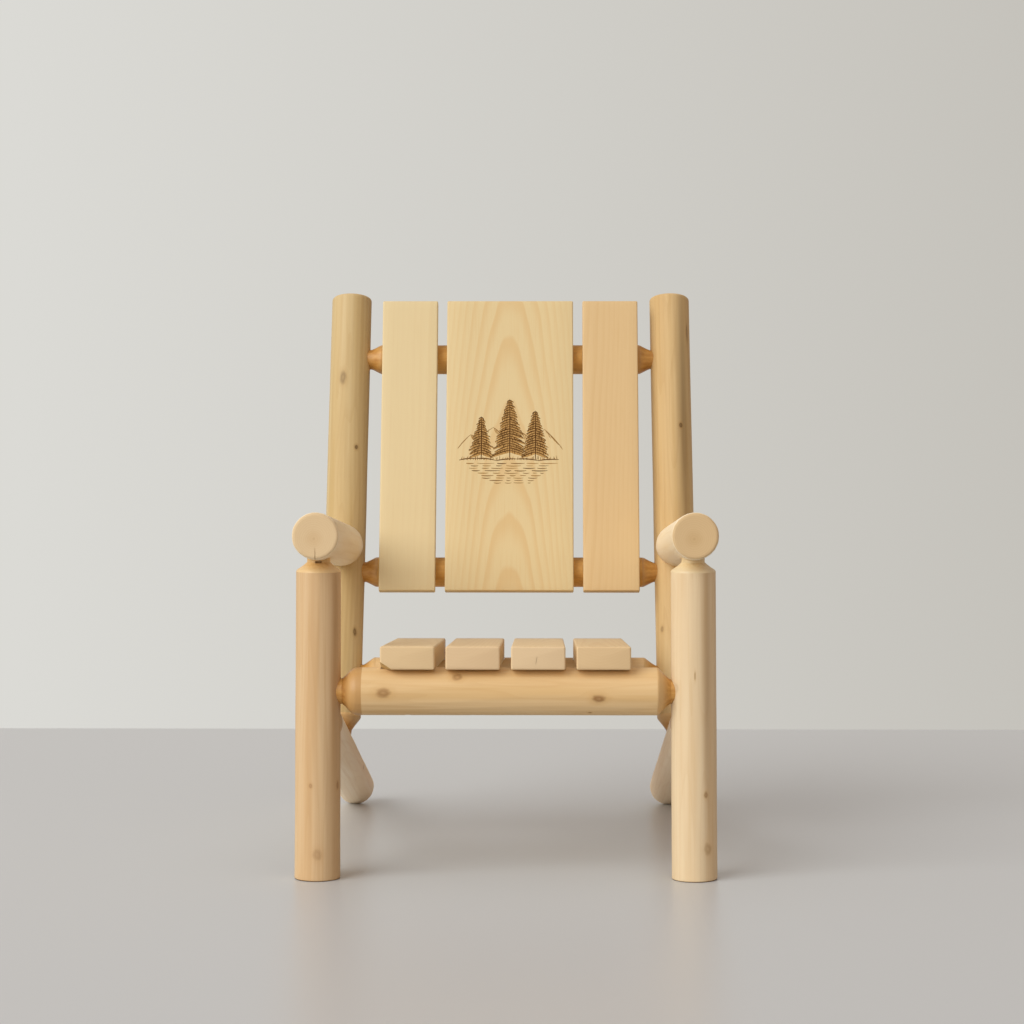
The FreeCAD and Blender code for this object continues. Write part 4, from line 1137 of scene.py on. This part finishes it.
# %% Rails
# Rim and finish of a left shoulder, where they differ from the others
LEFT_ENDS = {"front_seat_rail": (14 * MM, "oiled")}
for rail, (radius, tenon_radius, length, reach) in RAILS.items():
    rim, zone = LEFT_ENDS.get(rail, (RIM_LENGTH, "turned"))
    profile = [(-reach - TENON_SHOWN, tenon_radius, "turned"),
               *shoulder(-reach, tenon_radius, length - reach, radius, rim, zone),
               (length - reach + rim, radius, "peeled"),
               *shoulder(reach - length, radius, reach, tenon_radius), *tenon_end(reach, tenon_radius)]
    peeled_log(rail, rail_frame[rail], profile, radius, (-reach, reach), rail_cuts[rail])

# %% [markdown]
# ## Sawn pine
# The slats and boards are sawn from pine, so their faces cut through the growth rings at a slant.
# Where the saw ran nearly along the rings they make nested arches, where it ran across they make
# straight lines, and on the ends they show as arcs. All three come from one solid: rings about a
# pith that lies outside the board and tilts along it. Painting arches by hand would only fit one face.

# %% Pine wood
EARLY_END = 0.3
LATE_START = 0.85
SWAY = 3 * MM
SWAY_WIDTH = 60 * MM
SWAY_LENGTH = 320 * MM
PINE_FIBRE_WIDTH = 1.6 * MM
PINE_FIBRE_LENGTH = 90 * MM
FADE_START = 30 * MM            # beside the pith the rings fade out between these
FADE_END = 100 * MM


def sawn_pine(name, early, late, end, pith, tilt, spacing, contrast):
    """Low contrast growth rings on pale, nearly matt wood, a little duller on the sawn ends."""
    material, tree, shader = new_material(name)
    coordinates = add(tree, "TexCoord").outputs
    place = coordinates["Object"]
    parts = add(tree, "SeparateXYZ", {0: place}).outputs
    bend = streaks(tree, place, SWAY_WIDTH, SWAY_LENGTH, 2.0)
    sway = add(tree, "MapRange", {0: bend, 3: -SWAY, 4: SWAY})
    lean = add(tree, "Math", {0: parts["Z"], 1: tilt, 2: pith[1] * MM}, operation="MULTIPLY_ADD")
    depth = add(tree, "Math", {0: parts["Y"], 1: lean}, operation="ADD")
    swayed = add(tree, "Math", {0: depth, 1: sway}, operation="ADD")
    beside = add(tree, "Math", {0: parts["X"], 1: pith[0] * MM}, operation="SUBTRACT")
    arm = add(tree, "CombineXYZ", {"X": beside, "Y": swayed})
    reach = add(tree, "VectorMath", {0: arm}, operation="LENGTH")
    years = add(tree, "Math", {0: reach, 1: spacing * MM}, operation="DIVIDE")
    season = add(tree, "Math", {0: years}, operation="FRACT")
    rise = add(tree, "MapRange", {0: season, 1: EARLY_END, 2: LATE_START, 4: contrast}, **SOFT)
    drop = add(tree, "MapRange", {0: season, 1: 1.0, 2: 0.9})
    aside = add(tree, "Math", {0: beside}, operation="ABSOLUTE")
    faint = add(tree, "MapRange", {0: aside, 1: FADE_START, 2: FADE_END, 3: 1.0, 4: 0.3})
    edge = add(tree, "Math", {0: rise, 1: drop}, operation="MULTIPLY")
    band = add(tree, "Math", {0: edge, 1: faint}, operation="MULTIPLY")
    fibre = streaks(tree, place, PINE_FIBRE_WIDTH, PINE_FIBRE_LENGTH, 3.0)
    fine = add(tree, "MapRange", {0: fibre, 1: 0.5, 2: 0.8, 4: 0.35})
    facing = add(tree, "SeparateXYZ", {0: coordinates["Normal"]}).outputs["Z"]
    sawn = add(tree, "Math", {0: facing}, operation="ABSOLUTE")
    across = add(tree, "MapRange", {0: sawn, 1: 0.6, 2: 0.95, 4: 0.75})
    colour = early
    for factor, over in ((band, late), (fine, late), (across, end)):
        colour = add(tree, "Mix", {FACTOR: factor, FIRST: colour, SECOND: over}, **COLOURS)
    relief = add(tree, "Bump", {"Height": fibre, "Strength": 0.25, "Distance": 0.25 * MM})
    connect(tree, shader, {"Base Color": colour, "Roughness": 0.55, "IOR": WOOD_IOR,
                           "Specular IOR Level": 0.35, "Normal": relief})
    return material


# %% Boards and slats as meshes
EDGE_STEPS = 4
FACE_STEPS = 6
BOARD_STEP = 12 * MM
LEAST_CORNER = 0.2              # share of the easing that stays round on the sawn ends
LONG_SIDE = 4                   # sides longer than so many easings get steps


def board_outline(half_width, thickness, easing, inset):
    """A rectangle with rounded corners in X and Y, drawn in from its full size by an inset."""
    radius = max(easing - inset, LEAST_CORNER * easing)
    wide = half_width - inset - radius
    low = inset + radius
    high = thickness - inset - radius
    corners = []
    for x, y, quarter in ((wide, low, -1), (wide, high, 0), (-wide, high, 1), (-wide, low, 2)):
        for step in range(EDGE_STEPS + 1):
            angle = QUARTER * (quarter + step / EDGE_STEPS)
            corners.append((x + radius * cos(angle), y + radius * sin(angle)))
    outline = []
    for here, following in zip(corners, corners[1:] + corners[:1]):
        count = FACE_STEPS if dist(here, following) > LONG_SIDE * easing else 1
        for step in range(count):
            share = step / count
            outline.append((here[0] + (following[0] - here[0]) * share,
                            here[1] + (following[1] - here[1]) * share))
    return outline


def board_mesh(name, width, thickness, length, easing, wood):
    """A sawn board along Z with eased edges."""
    stations = []
    for step in range(EDGE_STEPS + 1):
        angle = QUARTER * step / EDGE_STEPS
        stations.append((easing * (1 - cos(angle)), easing * (1 - sin(angle))))
    count = round(length / BOARD_STEP)
    middle = [(easing + (length - 2 * easing) * step / count, 0.0) for step in range(1, count)]
    stack = stations + middle + [(length - along, inset) for along, inset in reversed(stations)]
    points = []
    for along, inset in stack:
        points += [(x, y, along) for x, y in board_outline(width / 2, thickness, easing, inset)]
    return new_mesh(name, points, capped_faces(len(stack), len(points) // len(stack)), wood)


# %% Seat slats
SLAT_EASING = 3 * MM
WANED_SLAT = 1
WANE_ACROSS = 20 * MM
WANE_HIGH = 13 * MM
WANE_LONG = 45 * MM
CRACKED_SLAT = 3
CRACK_TILT = radians(11)
CRACK_MIDDLE = (-3 * MM, 23 * MM, 0)
CRACK_HALF = (0.25 * MM, 6 * MM)
CRACK_DEPTH = 6 * MM
# Early wood, late wood and sawn ends, the pith's place in millimetres and its tilt, then the rings'
# spacing in millimetres and their contrast
SLAT_WOODS = (
    ("#E4CBA0", "#D8B684", "#D8BC90", (12, 60), 0.02, 4.5, 0.25),
    ("#E2C89E", "#D4B182", "#D6BA92", (-25, 45), -0.015, 5, 0.28),
    ("#E3CAA0", "#D6B484", "#D9BF98", (30, 70), 0.03, 4.2, 0.22),
    ("#E0C69A", "#D2AE7E", "#D3B68A", (-8, 55), 0.01, 4.8, 0.28),
)
for number, (across, wood) in enumerate(zip(slat_places, SLAT_WOODS), 1):
    name = "seat_slat_" + str(number)
    slat_pine = sawn_pine("sawn_pine_slat_" + str(number), *wood)
    mesh = board_mesh("sawn_" + name, SLAT_WIDTH, SLAT_THICKNESS, slat_length, SLAT_EASING, slat_pine)
    place = (seat_frame @ move(across, -SLAT_FRONT_OVERHANG, slat_underside + SLAT_THICKNESS)
             @ turn(-QUARTER, "X"))
    piece = place_piece("sawn_" + name, mesh, place, [name])
    if number == WANED_SLAT:
        corner = Vector((-SLAT_WIDTH / 2, SLAT_THICKNESS, 0))
        along_edge = Vector((WANE_ACROSS, WANE_HIGH, 0)).normalized()
        outward = Vector((-1 / WANE_ACROSS, 1 / WANE_HIGH, -1 / WANE_LONG)).normalized()
        face = Matrix((along_edge, outward.cross(along_edge), outward)).transposed().to_4x4()
        face.translation = corner + Vector((WANE_ACROSS, 0, 0))
        carve(piece, [plane_cut(place @ face, (-WANE_LONG, -WANE_LONG, 0), (WANE_LONG,) * 3)], cedar["brown"])
    if number == CRACKED_SLAT:
        wide, high = CRACK_HALF
        crack = place @ move(*CRACK_MIDDLE) @ turn(CRACK_TILT, "Z")
        carve(piece, [plane_cut(crack, (-wide, -high, -CRACK_DEPTH), (wide, high, CRACK_DEPTH))], slat_pine)
    smooth(piece)
    print(name, len(piece.data.polygons), "faces")

# %% Back boards
BOARD_EASING = 2.5 * MM
BOARD_WOODS = {
    "left": ("#E0CD9F", "#D8BE8C", "#D2BA8A", (90, 150), 0.01, 5.5, 0.25),
    "centre": ("#DEC998", "#D6B278", "#D2B886", (0, 168), 0.047, 5, 0.52),
    "right": ("#DABC8A", "#CFAA72", "#CAAE7A", (-70, 120), -0.02, 5, 0.28),
}
for side, (across, width) in board_places.items():
    name = "back_board_" + side
    board_pine = sawn_pine(f"sawn_pine_{side}_board", *BOARD_WOODS[side])
    mesh = board_mesh("sawn_" + name, width, BOARD_THICKNESS, board_length, BOARD_EASING, board_pine)
    place = back_frame @ move(across, -board_underside - BOARD_THICKNESS, -BOARD_BELOW_RAIL)
    smooth(place_piece("sawn_" + name, mesh, place, [name]))
    print(name, len(mesh.polygons), "faces")

# %% [markdown]
# ## The engraving
# A laser burns a picture into the centre board, line by line, darker where it moves slowly. Here it
# is a generic lakeside: three pines on a shore, hills behind them and ripples in front. An image
# texture would need a file, so every line is its own thin closed stroke, set into the face like an
# inlay and standing proud by less than a hair. Each stroke keeps how hard it was burnt.

# %% Burnt pine
# Dull charred wood, from scorched tan to dark brown
burnt_pine, tree, shader = new_material("laser_burnt_pine")
burn = add(tree, "Attribute", attribute_name="burn").outputs["Fac"]
charred = add(tree, "Mix", {FACTOR: burn, FIRST: "#C39A5C", SECOND: "#4C2C0F"}, **COLOURS)
connect(tree, shader, {"Base Color": charred, "Roughness": 0.85, "Specular IOR Level": 0.15})
print("burnt pine made")

# %% Strokes
STROKE_PROUD = 0.05 * MM
WASH_PROUD = 0.02 * MM
STROKE_STEPS = 6
STROKE_END = 0.25
SWELL_START = 0.15
SWELL_RUN = 0.8
TRUNK_WIDTH = 2.4               # the drawing is in millimetres on the board
TIER_HEIGHT = 5.2
CROWN_SHARE = 0.86
WASH_WIDTH = 5.0
WASH_DROP = 2.5
TWIG_SPACING = 4.5
strokes = []


def stroke(start, bend, end, width, burn, proud=STROKE_PROUD):
    """A burnt line along a curve from start past bend to end, in millimetres, thinner at both ends."""
    line = []
    for step in range(STROKE_STEPS + 1):
        share = step / STROKE_STEPS
        spot = [(1 - share) ** 2 * a + 2 * share * (1 - share) * b + share ** 2 * c
                for a, b, c in zip(start, bend, end)]
        swell = sin(pi * (SWELL_START + SWELL_RUN * share))
        line.append((*spot, width / 2 * (STROKE_END + (1 - STROKE_END) * swell)))
    strokes.append((line, burn, proud))


def pine(foot, ground, height, spread, chance):
    """A pine: a trunk, tiers of drooping branches that widen downwards, and hanging twigs."""
    stroke((foot, ground), (foot + 0.6, ground + height / 2), (foot, ground + height), TRUNK_WIDTH, 0.9)
    tiers = round(height / TIER_HEIGHT)
    for tier in range(tiers):
        share = (tier + 0.5) / tiers
        level = ground + height * (1 - CROWN_SHARE * share)
        for sign in (-1, 1):
            reach = spread * (0.1 + 0.9 * share ** 0.85) * chance.uniform(0.8, 1.1)
            droop = reach * chance.uniform(0.3, 0.45)
            tip = (foot + sign * reach, level - droop)
            middle = (foot + sign * reach * 0.5, level - droop * 0.25)
            stroke((foot, level - WASH_DROP), (middle[0], middle[1] - WASH_DROP), (tip[0], tip[1] - 1.5),
                   WASH_WIDTH, chance.uniform(0.0, 0.25), WASH_PROUD)
            stroke((foot, level), middle, tip, chance.uniform(1.7, 2.4), chance.uniform(0.75, 1.0))
            twigs = max(2, round(reach / TWIG_SPACING))
            for twig in range(twigs):
                along = (twig + chance.uniform(0.3, 0.9)) / twigs
                root = (foot + sign * reach * along, level - droop * along ** 1.6)
                hang = chance.uniform(3.5, 6.5) * (1.15 - 0.5 * along)
                out = sign * chance.uniform(0.8, 2.6)
                stroke(root, (root[0] + out, root[1] - hang * 0.4), (root[0] + out * 1.2, root[1] - hang),
                       chance.uniform(1.0, 1.8), chance.uniform(0.4, 1.0))


# %% Hills, shore, pines and ripples
RIDGE = ((-95, -14), (-72, 12), (-58, 4), (-30, 26), (-8, 6), (16, 20), (40, 2), (64, 22), (95, -12))
SHORE = ((-92, -36), (-60, -33), (-24, -37), (14, -34), (52, -37), (90, -35))
PINES = ((0, -36, 116, 33), (-52, -35, 82, 25), (47, -36, 94, 27))
SLOPE_LINES = 7
GRASS_BLADES = 46
GRASS_HALF_WIDTH = 90
GROUND = -36
RIPPLE_ROWS = 9
LAKE_LEVEL = -42
LAKE_HALF_WIDTH = 88
ROW_STEP = 4.6
ROW_NARROWING = 6.2
LEAST_RIPPLE = 4
DRAWING_SEED = 11
chance = random.Random(DRAWING_SEED)
for (left, low), (right, high) in zip(RIDGE, RIDGE[1:]):
    middle = ((left + right) / 2, (low + high) / 2 + 2.5)
    stroke((left, low), middle, (right, high), 1.6, 0.55)
    if high < low:
        for line in range(SLOPE_LINES):
            share = (line + 0.5) / SLOPE_LINES
            top = (left + (right - left) * share, low + (high - low) * share)
            fall = chance.uniform(6, 15) * (1 - 0.4 * share)
            stroke(top, (top[0] + 1.5, top[1] - fall / 2), (top[0] + 4.5, top[1] - fall), 1.4, 0.35)
for (left, low), (right, high) in zip(SHORE, SHORE[1:]):
    stroke((left, low), ((left + right) / 2, max(low, high) + 1.5), (right, high), 2.2, 0.85)
for blade in range(GRASS_BLADES):
    foot = GRASS_HALF_WIDTH * (2 * (blade + chance.random()) / GRASS_BLADES - 1)
    lean = chance.uniform(-2.5, 2.5)
    stroke((foot, GROUND), (foot + lean * 0.3, GROUND + 3), (foot + lean, GROUND + chance.uniform(4, 9)),
           1.1, chance.uniform(0.4, 0.8))
for tree_place in PINES:
    pine(*tree_place, chance)
for row in range(RIPPLE_ROWS):
    level = LAKE_LEVEL - ROW_STEP * row
    half = LAKE_HALF_WIDTH - ROW_NARROWING * row
    at = -half + chance.uniform(0, 12)
    while at < half:
        long = chance.uniform(10, 34) * (1 - 0.04 * row)
        end = min(at + long, half)
        if end - at > LEAST_RIPPLE:
            stroke((at, level), ((at + end) / 2, level - chance.uniform(0.6, 1.8)), (end, level),
                   chance.uniform(1.2, 2.1), chance.uniform(0.3, 0.9))
        at = end + chance.uniform(3, 11)
print("strokes", len(strokes))

# %% Strokes in the board
STROKE_DEPTH = 0.25 * MM
ENGRAVING_HEIGHT = 280 * MM


def stroke_shape(line, proud):
    """One stroke as a closed bar in the face of the board, with a ring of four points at each place."""
    points = []
    for number, (across, up, half) in enumerate(line):
        before = line[max(number - 1, 0)]
        after = line[min(number + 1, len(line) - 1)]
        way = Vector((after[0] - before[0], after[1] - before[1])).normalized()
        for side, depths in ((-1, (-proud, STROKE_DEPTH)), (1, (STROKE_DEPTH, -proud))):
            x = (across - side * way.y * half) * MM
            z = (up + side * way.x * half) * MM + ENGRAVING_HEIGHT
            points += [(x, y, z) for y in depths]
    return points, capped_faces(len(line), 4)


shapes = [stroke_shape(line, proud) for line, burn, proud in strokes]
burns = [burn for line, burn, proud in strokes for point in range(4 * len(line))]
mesh = joined_mesh("engraved_lakeside", shapes, burnt_pine)
mesh.attributes.new("burn", "FLOAT", "POINT").data.foreach_set("value", burns)
place = back_frame @ move(0, -board_underside - BOARD_THICKNESS, -BOARD_BELOW_RAIL)
place_piece("engraved_lakeside", mesh, place, [])
print("engraving", len(mesh.polygons), "faces")

# %% [markdown]
# ## Screws
# All screws go in from the hidden side: under the seat, behind the back and into the tenons. Each
# kind is made once, as the real one is: turned on a lathe, then cut by a tool, a cross punched into
# a countersunk head, six flats milled on a lag screw's head, a hole through a washer. Copies of it
# then stand in every hole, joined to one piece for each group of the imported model.

# %% Zinc plated steel
# A cool grey metal, clouded between shiny and dull as plating is
CLOUD_SIZE = 3 * MM
zinc, tree, shader = new_material("zinc_plated_steel")
place = add(tree, "TexCoord").outputs["Object"]
cloud = add(tree, "TexNoise", {"Vector": place, "Scale": 1 / CLOUD_SIZE, "Detail": 3.0})
shine = add(tree, "Mix", {FACTOR: cloud, FIRST: "#D6D3CB", SECOND: "#B4B1A8"}, **COLOURS)
dulling = add(tree, "MapRange", {0: cloud, 3: 0.28, 4: 0.46})
connect(tree, shader, {"Base Color": shine, "Roughness": dulling, "Metallic": 1.0})
print("zinc made")

# %% Wood screws
LATHE_SIDES = 32
SHANK_RADIUS = 2.5 * MM
HEAD_RIM = 0.6 * MM
POINT_LENGTH = 6 * MM
TIP_RADIUS = 0.5 * MM
CROSS_WIDTH = 1.3 * MM
CROSS_REACH = 2.9 * MM
CROSS_DEPTH = 1.8 * MM


def lathe_piece(name, profile, cutters):
    """A closed turned shape about Z from stations of height and radius, then cut."""
    points = [(0, 0, profile[0][0])]
    for height, radius in profile:
        points += circle(radius, height, LATHE_SIDES)
    points.append((0, 0, profile[-1][0]))
    piece = stand(name, new_mesh(name, points, closed_faces(len(profile), LATHE_SIDES), zinc))
    for cutter in cutters:
        carve(piece, [cutter], zinc)
    print(name, len(piece.data.polygons), "faces")
    return piece


def wood_screw(kind):
    """A countersunk screw with a cross recess, its head at the origin and its point along Z."""
    length = SCREW_LENGTH[kind]
    profile = [(0.0, HEAD_RADIUS), (HEAD_RIM, HEAD_RADIUS), (HEAD_HEIGHT, SHANK_RADIUS),
               (length - POINT_LENGTH, SHANK_RADIUS), (length, TIP_RADIUS)]
    low = (-CROSS_REACH, -CROSS_WIDTH / 2, -CROSS_DEPTH)
    high = (CROSS_REACH, CROSS_WIDTH / 2, CROSS_DEPTH)
    cross = [plane_cut(turn(angle, "Z"), low, high) for angle in (0.0, QUARTER)]
    return lathe_piece(kind + "_screw_pattern", profile, cross)


# %% Lag screw and washer
LAG_RADIUS = 5 * MM
LAG_LENGTH = 120 * MM
LAG_POINT = 10 * MM
LAG_TIP_RADIUS = 1 * MM
LAG_FLATS = 6
LAG_HEAD_WIDTH = 17 * MM
LAG_HEAD_HEIGHT = 6.5 * MM
LAG_CHAMFER = 1.2 * MM
WASHER_RADIUS = 12 * MM
WASHER_THICKNESS = 2 * MM
WASHER_EASING = 0.3 * MM
half_flat = pi / LAG_FLATS
lag_corner = LAG_HEAD_WIDTH / 2 / cos(half_flat)
hexagon = []
for number in range(LAG_FLATS):
    way = turn(half_flat * (2 * number + 1), "Z")
    hexagon.append(plane_cut(way, (LAG_HEAD_WIDTH / 2, -lag_corner, -2 * LAG_HEAD_HEIGHT),
                             (2 * lag_corner, lag_corner, LAG_HEAD_HEIGHT)))
lag_pattern = lathe_piece("lag_pattern", [
    (-LAG_HEAD_HEIGHT, lag_corner - LAG_CHAMFER), (-LAG_HEAD_HEIGHT + LAG_CHAMFER / 2, lag_corner),
    (0.0, lag_corner), (0.0, LAG_RADIUS), (LAG_LENGTH - LAG_POINT, LAG_RADIUS),
    (LAG_LENGTH, LAG_TIP_RADIUS)], hexagon)
washer_pattern = lathe_piece("washer_pattern", [
    (0.0, WASHER_RADIUS - WASHER_EASING), (WASHER_EASING, WASHER_RADIUS),
    (WASHER_THICKNESS - WASHER_EASING, WASHER_RADIUS), (WASHER_THICKNESS, WASHER_RADIUS - WASHER_EASING)],
    [drill(Matrix(), LAG_RADIUS + GLUE_GAP, -WASHER_THICKNESS, 2 * WASHER_THICKNESS)])

# %% Screws in their holes
into_arm = turn(pi, "X")
lag_spots = [arm_frame[side] @ move(0, 0, lag_seat + WASHER_THICKNESS) @ into_arm for side in SIDES]
fasteners = {
    "seat_slat_screws": (wood_screw("slat"), slat_screw_spots),
    "back_board_screws": (wood_screw("board"), board_screw_spots),
    "rail_lock_screws": (wood_screw("lock"), lock_spots),
    "arm_lag_screws": (lag_pattern, lag_spots),
    "arm_lag_washers": (washer_pattern, lag_spots),
}
for name, (pattern, spots) in fasteners.items():
    faces = [tuple(face.vertices) for face in pattern.data.polygons]
    shapes = [([spot @ vertex.co for vertex in pattern.data.vertices], faces) for spot in spots]
    mesh = joined_mesh("zinc_" + name, shapes, zinc)
    smooth(place_piece("zinc_" + name, mesh, Matrix(), [name]))
    discard(pattern)
    print(name, len(spots), "places,", len(mesh.polygons), "faces")
